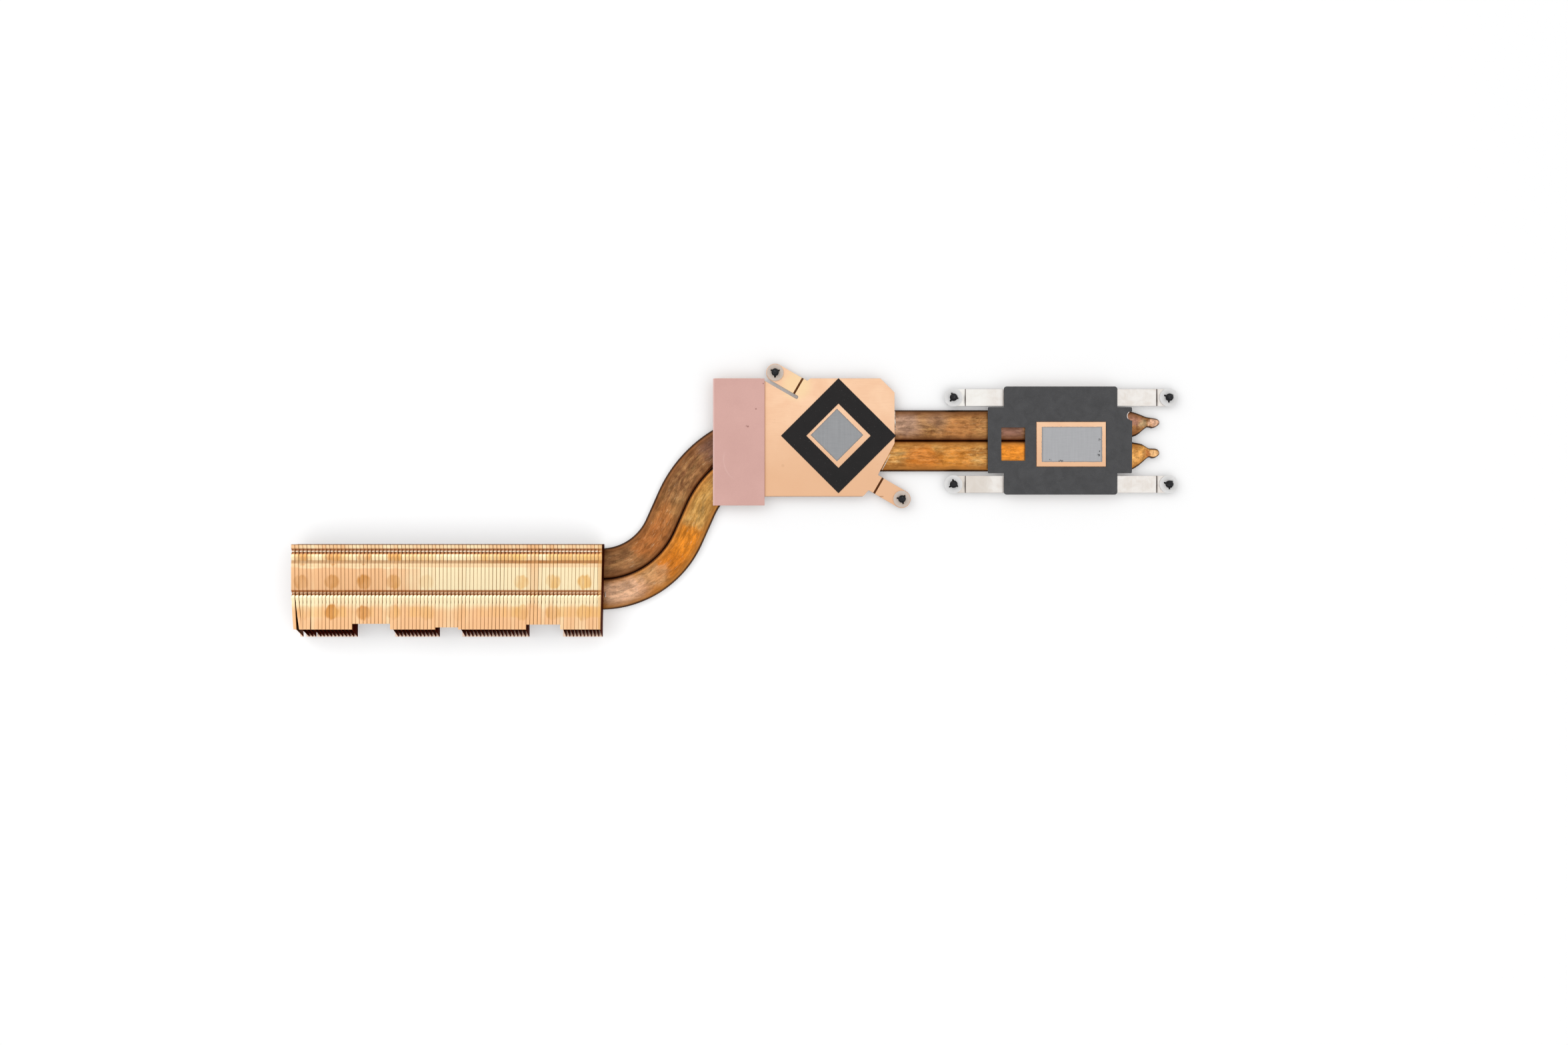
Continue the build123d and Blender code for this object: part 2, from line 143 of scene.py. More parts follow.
def grain(tree, where, scale, detail=2.0, roughness=0.5, distortion=0.0):
    """Gives noise from 0 to 1."""
    inputs = {"Vector": where, "Scale": scale, "Detail": detail, "Roughness": roughness,
              "Distortion": distortion}
    return add_node(tree, "TexNoise", inputs).outputs[0]


def stretched(tree, where, scale):
    """Stretches coordinates, so that noise becomes streaks."""
    return add_node(tree, "Mapping", {"Vector": where, "Scale": scale}).outputs[0]


def place_of(tree):
    """Gives the point's place on the object, whole and as X, Y and Z."""
    where = add_node(tree, "TexCoord").outputs["Object"]
    split = add_node(tree, "SeparateXYZ", {0: where})
    return where, split.outputs[0], split.outputs[1], split.outputs[2]


def spot(tree, where, centre, radius, soft):
    """Is 1 in a round spot, given in millimetres, and fades out over soft."""
    x, y = centre
    offset = add_node(tree, "VectorMath", {0: where, 1: (x * MM, y * MM, 0)}, operation="SUBTRACT")
    flat = add_node(tree, "VectorMath", {0: offset.outputs[0], 1: (1, 1, 0)}, operation="MULTIPLY")
    distance = add_node(tree, "VectorMath", {0: flat.outputs[0]}, operation="LENGTH").outputs["Value"]
    return fade(tree, distance, (radius + soft) * MM, radius * MM)


def upward(tree):
    """Is 1 on faces that look straight up, and less the more they slope."""
    normal = add_node(tree, "NewGeometry").outputs["True Normal"]
    return add_node(tree, "SeparateXYZ", {0: normal}).outputs[2]


def own_value(tree, name):
    """Reads one of the piece's own values, stored on its points."""
    return add_node(tree, "Attribute", attribute_name=name).outputs["Fac"]


def new_material(name, **settings):
    """Starts a material and sets the plain numbers on its shader's own sockets."""
    material = bpy.data.materials.new(name)
    material.use_nodes = True
    tree = material.node_tree
    shader = tree.nodes["Principled BSDF"]
    for key, value in settings.items():
        shader.inputs[key.replace("_", " ").title().replace("Ior", "IOR")].default_value = value
    return material, tree, shader


def feed(tree, shader, **sockets):
    """Links outputs to the shader's sockets."""
    for name, value in sockets.items():
        tree.links.new(value, shader.inputs[name.replace("_", " ").title()])


def bump(tree, height, distance, strength=1.0):
    """Turns a height into a bumpy normal."""
    inputs = {"Height": height, "Distance": distance, "Strength": strength}
    return add_node(tree, "Bump", inputs).outputs[0]


# %% [markdown]
# ## The table and the light
#
# The photograph has a white table and soft light from all sides, which leaves only a faint grey
# halo under the part. A plain pale floor and a bright sky that dims towards the horizon do the
# same: flat metal mirrors the bright top of the sky, and edges that turn away go darker. The
# floor is lifted a little for the camera alone, so that it comes out white and keeps its shadow.

# %% Floor
floor_z = cad_low.z
floor_half = 1.5

floor_bm = bmesh.new()
bmesh.ops.create_grid(floor_bm, x_segments=1, y_segments=1, size=floor_half)
bmesh.ops.translate(floor_bm, vec=(camera_place.x, camera_place.y, floor_z), verts=floor_bm.verts)
floor_mesh = bpy.data.meshes.new("floor")
floor_bm.to_mesh(floor_mesh)
floor_bm.free()
floor = bpy.data.objects.new("floor", floor_mesh)
bpy.context.scene.collection.objects.link(floor)
floor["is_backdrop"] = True

floor_paint, tree, shader = new_material("table_white", roughness=0.9)
shader.inputs["Base Color"].default_value = (0.86, 0.86, 0.86, 1)
shader.inputs["Specular IOR Level"].default_value = 0.0
shader.inputs["Emission Color"].default_value = (1, 1, 1, 1)
rays = add_node(tree, "LightPath")
where, x, y, z = place_of(tree)
# Near the fins the lift is stronger: a painted pool of light on the floor that pales their shadow.
camera_lift_and_light_pool = calc(tree, "MULTIPLY_ADD", spot(tree, where, (-165.0, -39.0), 50.0, 40.0), 0.12, 0.14)
lift = calc(tree, "MULTIPLY", rays.outputs["Is Camera Ray"], camera_lift_and_light_pool)
tree.links.new(lift, shader.inputs["Emission Strength"])
floor_mesh.materials.append(floor_paint)

# %% World and lamps
sky_strength = 0.97
horizon = (0.50, 0.50, 0.51, 1)
zenith = (1.0, 1.0, 1.0, 1)

world = bpy.data.worlds.new("studio")
world.use_nodes = True
bpy.context.scene.world = world
tree = world.node_tree
tree.nodes.clear()
direction = add_node(tree, "TexCoord").outputs["Generated"]
height = add_node(tree, "SeparateXYZ", {0: direction}).outputs[2]
shade = mix(tree, fade(tree, height, 0.05, 0.85), horizon, zenith)
sky = add_node(tree, "Background", {"Color": shade, "Strength": sky_strength})
plain = add_node(tree, "Background", {"Color": (1, 1, 1, 1), "Strength": 1.0})
rays = add_node(tree, "LightPath")
views = {0: rays.outputs["Is Camera Ray"], 1: sky.outputs[0], 2: plain.outputs[0]}
seen = add_node(tree, "MixShader", views)
add_node(tree, "OutputWorld", {0: seen.outputs[0]})


def softbox(name, place, size, power):
    """Hangs a square lamp that looks at the middle of the part."""
    lamp_data = bpy.data.lights.new(name, "AREA")
    lamp_data.shape = "SQUARE"
    lamp_data.size = size
    lamp_data.energy = power
    lamp = bpy.data.objects.new(name, lamp_data)
    lamp.location = place
    aim = Vector((camera_place.x, camera_place.y, 0)) - Vector(place)
    lamp.rotation_euler = aim.to_track_quat("-Z", "Y").to_euler()
    bpy.context.scene.collection.objects.link(lamp)


softbox("window_left", (-0.75, 0.45, 0.95), 0.9, 2.6)
softbox("window_right", (0.55, -0.55, 0.9), 0.9, 1.2)
bpy.context.scene.view_settings.view_transform = "Standard"
print("floor at", round(floor_z / MM, 2), "mm")

# %% [markdown]
# ## Finishing a piece
#
# Each piece is modelled in a bmesh, in metres, where the frame says. Then it becomes an object
# that sits at the origin, rides on a body, names the finish that it takes and hides the plain
# solids that it stands for.

# %% Piece helpers
def finish_piece(bm, name, material, replaces=(), body="heatsink", smooth=32.0):
    """Turns a bmesh into a finished object of the scene."""
    bmesh.ops.recalc_face_normals(bm, faces=bm.faces[:])
    mesh = bpy.data.meshes.new(name)
    bm.to_mesh(mesh)
    bm.free()
    mesh.shade_smooth()
    mesh.set_sharp_from_angle(angle=math.radians(smooth))
    mesh.materials.append(material)
    piece = bpy.data.objects.new(name, mesh)
    bpy.context.scene.collection.objects.link(piece)
    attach(piece, body)
    if replaces:
        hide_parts(*replaces)
    print(name, len(mesh.polygons), "faces")


def verts_of(geometry):
    """Keeps the points of what an operator returns."""
    return [element for element in geometry if isinstance(element, bmesh.types.BMVert)]


def bevel_edges(bm, width, segments=2, angle=40.0):
    """Rounds every edge where two faces meet at more than an angle."""
    sharp = [e for e in bm.edges if e.is_manifold and e.calc_face_angle() > math.radians(angle)]
    bmesh.ops.bevel(bm, geom=sharp, offset=width * MM, offset_type="OFFSET", segments=segments,
                    profile=0.5, affect="EDGES", material=-1, clamp_overlap=True)


# %% [markdown]
# ## Copper fins: the finish
#
# The fins are thin bright copper, painted cream where they catch the sky and peach where they
# don't. Heat has left rows of round tints, one every 8.3 mm, and the fold across the stack carries
# painted shade, browner at the right, as do the troughs, the folds between fins and the webs. It
# could all be painted as one picture, but a few bands along Y, rows of frayed spots and one random
# tone for each fin give the same look from every side.

# %% Fin material
fin_pitch = 1.007
tint_radius = 1.85
tint_rows = (
    (-30.1, ((-204.6, 0.7), (-196.4, 0.95), (-188.1, 0.75), (-180.1, 0.85), (-171.6, 0.3),
             (-154.8, 0.25), (-146.6, 0.95), (-138.0, 0.85), (-129.9, 0.9))),
    (-36.7, ((-204.85, 0.75), (-196.6, 0.9), (-188.1, 1.0), (-180.3, 0.95), (-171.6, 0.3),
             (-146.4, 0.8), (-138.0, 0.9), (-129.7, 1.0))),
    (-44.8, ((-204.0, 0.35), (-196.6, 1.0), (-188.3, 0.9), (-180.4, 0.45), (-171.4, 0.5), (-163.0, 0.2),
             (-146.4, 0.6), (-138.1, 0.75), (-129.8, 0.85))),
)

fin_copper, tree, shader = new_material("fin_copper", metallic=1.0)
where, x, y, z = place_of(tree)
fin_shade = own_value(tree, "shade")
inside = own_value(tree, "inside")
across = own_value(tree, "across")

# Cream and peach: painted reflection in bands along Y, mixed with a random tone for each fin and noise.
cream = (0.98, 0.82, 0.52, 1)
peach = (0.92, 0.54, 0.28, 1)
broad = grain(tree, where, 90.0, 2.0)
left_part = fade(tree, x, -0.166, -0.186)
middle_rows = band(tree, y, -0.0388, -0.0335, 0.0010)
foot = fade(tree, y, -0.0415, -0.0450)
head = fade(tree, y, -0.0285, -0.0275)
peach_share = calc(tree, "MULTIPLY", left_part, middle_rows)
peach_share = calc(tree, "MAXIMUM", peach_share, calc(tree, "MULTIPLY", foot, 0.85))
peach_share = calc(tree, "MAXIMUM", peach_share, calc(tree, "MULTIPLY", head, 0.45))
jitter = calc(tree, "MULTIPLY_ADD", fin_shade, 1.0, -0.42)
peach_share = calc(tree, "ADD", peach_share, jitter)
peach_share = calc(tree, "MULTIPLY_ADD", calc(tree, "SUBTRACT", broad, 0.5), 1.1, peach_share)
colour = mix(tree, fade(tree, peach_share, 0.0, 1.0), cream, peach)

# Heat has turned some fins golden between the upper hooks and the crease
golden = grain(tree, stretched(tree, where, (1, 0.05, 0)), 150.0, 3.0, 0.7)
above_crease = band(tree, y, -0.0310, -0.0294, 0.0002)
gold_share = calc(tree, "MULTIPLY", above_crease, fade(tree, golden, 0.38, 0.58))
colour = tinted(tree, colour, gold_share, 0.85, (0.82, 0.46, 0.16, 1))

# The crease carries painted shade, browner the further right it runs
crease_painted_shade = band(tree, y, -0.0317, -0.0311, 0.0003)
crease_shade_depth = calc(tree, "MULTIPLY_ADD", fade(tree, x, -0.165, -0.145), 0.26, 0.66)
colour = tinted(tree, colour, crease_painted_shade, crease_shade_depth, (0.46, 0.18, 0.05, 1))
below = band(tree, y, -0.0327, -0.0320, 0.0003)
colour = tinted(tree, colour, below, 0.55, (0.90, 0.55, 0.29, 1))

# The troughs carry painted red-brown shade, and the tongues at their bottom a painted highlight
hook_upper = band(tree, y, -0.0293, -0.0279, 0.00012)
hook_lower = band(tree, y, -0.0401, -0.0389, 0.00012)
hooks = calc(tree, "MAXIMUM", hook_upper, hook_lower)
tongue_highlight_upper = band(tree, y, -0.02872, -0.02845, 0.00006)
tongue_highlight_lower = band(tree, y, -0.03965, -0.03955, 0.00010)
tongue_highlights = calc(tree, "MAXIMUM", tongue_highlight_upper, calc(tree, "MULTIPLY", tongue_highlight_lower, 0.55))
trough_painted_shade = calc(tree, "SUBTRACT", hooks, tongue_highlights)
colour = tinted(tree, colour, trough_painted_shade, 0.85, (0.40, 0.11, 0.022, 1))
colour = tinted(tree, colour, tongue_highlights, 0.9, (1.0, 0.86, 0.68, 1))
# A thin painted highlight along the lip below the lower hooks.
fin_lip_highlight = band(tree, y, -0.0408, -0.0403, 0.0002)
colour = tinted(tree, colour, fin_lip_highlight, 0.2, (1.0, 0.88, 0.62, 1))

# The last fin at the right has turned golden brown
last_fin = fade(tree, x, -0.12625, -0.12605)
colour = tinted(tree, colour, last_fin, 0.5, (0.74, 0.38, 0.12, 1))

# Round tints, each with its own place and strength, and frayed by noise
patchy = fade(tree, grain(tree, stretched(tree, where, (1, 0.3, 0)), 420.0, 2.0, 0.6), 0.30, 0.60)
fray = grain(tree, stretched(tree, where, (1, 0.25, 0)), 900.0, 2.0, 0.6)
fray = calc(tree, "MULTIPLY_ADD", fray, 0.0024, -0.0012)
frayed = add_node(tree, "CombineXYZ", {0: 0.0, 1: fray, 2: 0.0}).outputs[0]
frayed = add_node(tree, "VectorMath", {0: where, 1: frayed}, operation="ADD").outputs[0]
tint_share = 0.0
for row_y, tints in tint_rows:
    for tint_x, strength in tints:
        round_tint = spot(tree, frayed, (tint_x, row_y), tint_radius - 0.3, 0.75)
        weighted = calc(tree, "MULTIPLY", round_tint, strength)
        tint_share = calc(tree, "MAXIMUM", weighted, tint_share)
tint_share = calc(tree, "MULTIPLY", tint_share, calc(tree, "MULTIPLY_ADD", patchy, 0.6, 0.40))
brown_tints = calc(tree, "MAXIMUM", left_part, calc(tree, "MULTIPLY", foot, 0.6))
in_relief = calc(tree, "MAXIMUM", hooks, calc(tree, "MULTIPLY", crease_painted_shade, 0.9))
tint_share = calc(tree, "MULTIPLY", tint_share, calc(tree, "SUBTRACT", 1.0, in_relief))
tint_colour = mix(tree, brown_tints, (0.88, 0.54, 0.20, 1), (0.68, 0.31, 0.09, 1))
colour = mix(tree, tint_share, colour, tint_colour)
lone_fins = fade(tree, fin_shade, 0.62, 0.80)
lone_fins = calc(tree, "MULTIPLY", lone_fins, fade(tree, broad, 0.35, 0.60))
colour = tinted(tree, colour, lone_fins, 0.25, (0.86, 0.50, 0.22, 1))

# A second, thinner bloom of heat lies along the foot. The folds, the webs and the inside carry painted
# shade, the far tips a painted highlight
bloom = band(tree, y, -0.0456, -0.0436, 0.0008)
bloom = calc(tree, "MULTIPLY", bloom, fade(tree, golden, 0.40, 0.62))
colour = tinted(tree, colour, bloom, 0.55, (0.88, 0.50, 0.16, 1))
top_edge = fade(tree, y, -0.02705, -0.02685)
colour = tinted(tree, colour, top_edge, 0.85, (0.30, 0.13, 0.06, 1))
# The folds get painted shade, the dark line between fins, deeper on some fins than on others.
fold_painted_shade = fade(tree, across, 0.00074, 0.00092)
line_depth = calc(tree, "MULTIPLY_ADD", fade(tree, fin_shade, 0.30, 0.60), 0.50, 0.40)
colour = tinted(tree, colour, fold_painted_shade, line_depth, (0.45, 0.22, 0.07, 1))
# The webs and the near half of the inside get painted shade, less at the left end; the far tips get a
# painted highlight, and the shine is dimmed to red-brown where shade is painted.
sheltered = calc(tree, "MULTIPLY_ADD", fade(tree, x, -0.20595, -0.20570), 0.65, 0.35)
web_painted_shade = calc(tree, "MULTIPLY", band(tree, across, 0.0013, 0.0086, 0.0002), sheltered)
colour = tinted(tree, colour, web_painted_shade, 0.97, (0.115, 0.028, 0.010, 1))
near_half = fade(tree, across, 0.0092, 0.0088)
shaded = calc(tree, "MULTIPLY", calc(tree, "MULTIPLY", inside, near_half), sheltered)
colour = tinted(tree, colour, shaded, 0.95, (0.17, 0.045, 0.015, 1))
far_tip_painted_light = fade(tree, across, 0.0090, 0.0092)
far_tip_painted_light = calc(tree, "MULTIPLY", far_tip_painted_light, fade(tree, y, -0.0490, -0.0500))
colour = tinted(tree, colour, far_tip_painted_light, 0.8, (0.87, 0.68, 0.56, 1))
unlit = calc(tree, "MAXIMUM", web_painted_shade, shaded)
shaded_reflection_tint = mix(tree, unlit, (1, 1, 1, 1), (0.26, 0.065, 0.025, 1))
streaks = grain(tree, stretched(tree, where, (9000, 260, 900)), 1.0, 3.0)
rough = calc(tree, "MULTIPLY_ADD", streaks, 0.16, 0.30)
feed(tree, shader, base_color=colour, roughness=rough, specular_tint=shaded_reflection_tint,
     normal=bump(tree, streaks, 0.00001, 0.5))
print("tints", sum(len(tints) for _, tints in tint_rows))

# %% [markdown]
# ## Copper fins: the folds
#
# A real fin starts as a strip of copper 0.2 mm thick. A press folds it into a C, pushes a trough
# into the near flange at each of two rows so that its tongue hooks under the next fin, and trims
# the outlet edge on a slant. The same steps work here: a chain of points is folded with spins,
# pulled out along Y row by row, dented, cut with a plane and only then given its thickness. A
# solid box for each fin would be quicker, but then the light would find no bends to catch.

# %% Fin sizes
stack_low, stack_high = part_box("fins_inner")
fin_reach = 1.0
fin_thick = 0.2
fold_radius = 0.26
fin_height = (stack_high.z - stack_low.z) / MM
inlet_y = stack_high.y / MM
outlet_near_y = -49.3
outlet_far_y = -51.6
near_flange = 0.72

# Along the near flange: place, depth of the dent, and how far the tip's edge is drawn back
flange_rows = (
    (-27.15, 0.0, 0.0),
    (-27.75, 0.0, 0.0),
    (-27.95, 0.16, 0.0),
    (-28.38, 0.46, 0.04),
    (-28.45, 0.34, 0.08),
    (-28.76, 0.34, 0.08),
    (-28.86, 0.52, 0.04),
    (-29.38, 0.02, 0.0),
    (-30.2, 0.0, 0.02),
    (-30.95, 0.0, 0.05),
    (-31.35, 0.07, 0.02),
    (-31.95, 0.0, 0.0),
    (-33.2, -0.02, 0.0),
    (-38.85, 0.0, 0.0),
    (-39.05, 0.14, 0.0),
    (-39.55, 0.42, 0.04),
    (-39.65, 0.30, 0.12),
    (-39.9, 0.30, 0.12),
    (-40.05, 0.46, 0.06),
    (-40.45, 0.0, 0.0),
    (-41.0, -0.01, 0.0),
    (-41.45, 0.0, 0.0),
    (-41.6, 0.0, 0.04),
    (-42.2, 0.0, 0.07),
    (-42.6, 0.0, 0.01),
    (-43.4, 0.0, 0.0),
    (-45.0, 0.05, 0.0),
    (-45.5, 0.0, 0.0),
    (-47.6, 0.0, 0.0),
)
print("fin height", round(fin_height, 2), "inlet", round(inlet_y, 2))


# %% Fold one fin
def pulled(bm, vert, point):
    """Pulls a new point out of the end of a chain."""
    new = bmesh.ops.extrude_vert_indiv(bm, verts=[vert])["verts"][0]
    new.co = Vector(point) * MM
    return new


def folded(bm, vert, centre):
    """Folds the end of a chain by a quarter turn about an axis along Y."""
    turned = bmesh.ops.spin(bm, geom=[vert], cent=Vector(centre) * MM, axis=(0, 1, 0),
                            angle=math.radians(90), steps=3)
    return verts_of(turned["geom_last"])[0]


def fin_chain(bm):
    """Draws the C of one fin, from the near flange's tip to the far flange's."""
    high = stack_high.z / MM
    low = stack_low.z / MM
    end = bm.verts.new(Vector((-fin_reach, inlet_y, high)) * MM)
    end = pulled(bm, end, (-near_flange + 0.05, inlet_y, high))
    end = pulled(bm, end, (-fold_radius, inlet_y, high))
    end = folded(bm, end, (-fold_radius, inlet_y, high - fold_radius))
    end = pulled(bm, end, (0, inlet_y, low + fold_radius))
    end = folded(bm, end, (-fold_radius, inlet_y, low + fold_radius))
    pulled(bm, end, (-fin_reach, inlet_y, low))


def fin_template(near_y, far_y):
    """Makes one fin, with its web's outer face at x = 0, and keeps it as a mesh."""
    bm = bmesh.new()
    across = bm.verts.layers.float.new("across")
    inside = bm.verts.layers.float.new("inside")
    fin_chain(bm)
    bm.verts.ensure_lookup_table()
    far_along = 0.0
    before = bm.verts[0].co.copy()
    for vert in bm.verts:
        far_along += (vert.co - before).length
        before = vert.co.copy()
        vert[across] = far_along
    edge = bm.edges[:]
    reached = inlet_y
    for station_y, depth, draw in flange_rows + ((far_y - 0.4, 0.0, 0.0),):
        if station_y < far_y - 0.4:
            continue
        made = bmesh.ops.extrude_edge_only(bm, edges=edge)["geom"]
        bmesh.ops.translate(bm, vec=(0, (station_y - reached) * MM, 0), verts=verts_of(made))
        edge = [e for e in made if isinstance(e, bmesh.types.BMEdge)]
        reached = station_y
    dents = {round(row, 2): (depth, draw) for row, depth, draw in flange_rows}
    for vert in bm.verts:
        depth, draw = dents.get(round(vert.co.y / MM, 2), (0.0, 0.0))
        on_flange = max(0.0, 1.0 - vert[across] / ((near_flange + 0.05) * MM)) ** 0.35
        at_tip = 1.0 if vert[across] < 0.05 * MM else 0.0
        vert.co.z -= depth * on_flange * MM
        vert.co.x += draw * at_tip * MM
    drop = far_y - near_y
    cut = bm.verts[:] + bm.edges[:] + bm.faces[:]
    top = Vector((0, near_y * MM, stack_high.z))
    slant = (0, -fin_height, -drop)
    bmesh.ops.bisect_plane(bm, geom=cut, plane_co=top, plane_no=slant, clear_outer=True)
    outer = set(bm.verts)
    bmesh.ops.recalc_face_normals(bm, faces=bm.faces[:])
    web = max(bm.faces, key=lambda f: f.calc_center_median().x)
    if web.normal.x < 0:
        bmesh.ops.reverse_faces(bm, faces=bm.faces[:])
    bmesh.ops.solidify(bm, geom=bm.faces[:], thickness=fin_thick * MM)
    for vert in bm.verts:
        if vert not in outer:
            vert[inside] = 1.0
    print("fin spans x", [round(f(v.co.x for v in bm.verts) / MM, 3) for f in (min, max)])
    mesh = bpy.data.meshes.new("fin_template")
    bm.to_mesh(mesh)
    bm.free()
    return mesh


# %% [markdown]
# ## The stack
#
# The fins stand in banks, and the banks take their edges from the frame: three of them are cut
# short at the outlet. The whole stack leans a little, by 0.45 mm at the right end, and the first
# eleven fins stand 0.03 mm closer than the rest, as do fourteen further left by 0.01 mm. Some fins
# are pressed wider by up to a tenth. At the left end six fins were crushed, and they lean and
# close up towards the outlet.

# %% Lean of the fins
fin_count = 82
stack_lean = 0.45
close_fins = 11
close_by = 0.37
further_fins = (62, 76)
further_by = 0.12
close_fit = 0.10

# Crushed fins from the right: how far each stands right of its place, in mm, then its lean at the
# outlet and the flange left there, both as shares of the pitch
crushed_fins = (
    (0.54, 0.0, 1.02),
    (0.47, -0.22, 1.00),
    (0.40, -0.04, 1.00),
    (0.35, -0.06, 0.10),
    (0.30, 1.16, 0.82),
    (0.27, 0.60, 0.88),
)
crush_start_y = -40.2
crush_middle_y = -45.4
crush_middle_share = 0.38


def ramp_between(value, start, end):
    """Runs from 0 at start to 1 at end."""
    return min(1.0, max(0.0, (value - start) / (end - start)))


def stack_shift(y, index):
    """How far a fin of the whole stack has moved sideways at a place along it."""
    lean = stack_lean * (1 - index / fin_count) * ramp_between(y, -30.0, -49.0)
    close = close_by * ramp_between(index, 0, close_fins)
    close += further_by * ramp_between(index, *further_fins)
    return close - lean


def crush(y, spread, lean, flange):
    """Gives a crushed fin's shift and what share of its flange is left at a place along it."""
    early = ramp_between(y, crush_start_y, crush_middle_y)
    late = ramp_between(y, crush_middle_y, outlet_far_y)
    share = crush_middle_share * early + (1 - crush_middle_share) * late
    kept = 1.04 - (1.04 - flange * fin_pitch / fin_reach) * (early + late) / 2
    return spread + lean * fin_pitch * share, kept


# %% Build the banks
fin_banks = ("fins_inner", "fins_inner_notch", "fins_middle", "fins_middle_notch", "fins_outer",
             "fins_outer_notch", "fins_end", "fins_crushed")
random.seed(11)
noise.seed_set(11)
full_fin = fin_template(outlet_near_y, outlet_far_y)
index = 0
for bank in fin_banks:
    low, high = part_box(bank)
    short = bank.endswith("notch")
    template = fin_template(low.y / MM, low.y / MM) if short else full_fin
    count = len(crushed_fins) if bank == "fins_crushed" else round((high.x - low.x) / (fin_pitch * MM))
    right = stack_high.x / MM
    bm = bmesh.new()
    shade = bm.verts.layers.float.new("shade")
    for number in range(count):
        web_x = right - index * fin_pitch
        old = len(bm.verts)
        bm.from_mesh(template)
        bm.verts.ensure_lookup_table()
        fin_tone = 0.5 + 0.5 * noise.noise(Vector((index * 0.31, 4.2, 0))) + random.uniform(-0.16, 0.16)
        touching = 1 + close_fit * max(0.0, noise.noise(Vector((index * 0.73, 9.1, 0))))
        for vert in bm.verts[old:]:
            y = vert.co.y / MM
            vert.co.x *= touching
            if bank == "fins_crushed":
                moved, kept = crush(y, *crushed_fins[number])
                vert.co.x *= kept
                vert.co.x += moved * MM
            else:
                vert.co.x += stack_shift(y, index) * MM
            vert.co.x += web_x * MM
            vert[shade] = fin_tone
        index += 1
    finish_piece(bm, bank + "_folded", fin_copper, replaces=[bank], smooth=38)
print("fins", index)

# %% [markdown]
# ## Heat pipes: the finish
#
# Both pipes were bright copper once. Soldering heat has browned the upper one and turned the lower
# one orange and gold, and the bending tool has left fine scratches along both. The patches follow
# the place on the part, but scratches, golden streaks with a painted highlight down the middle and
# the painted shade along the edges and the seam follow the pipe itself. So each point of the pipe
# carries values of its own: how far along the pipe it is, how far across, and how far from the edge.

# %% Pipe materials
# Colour of the painted shade along the pipes' edges and their seam.
painted_edge_shade = (0.045, 0.018, 0.010, 1)


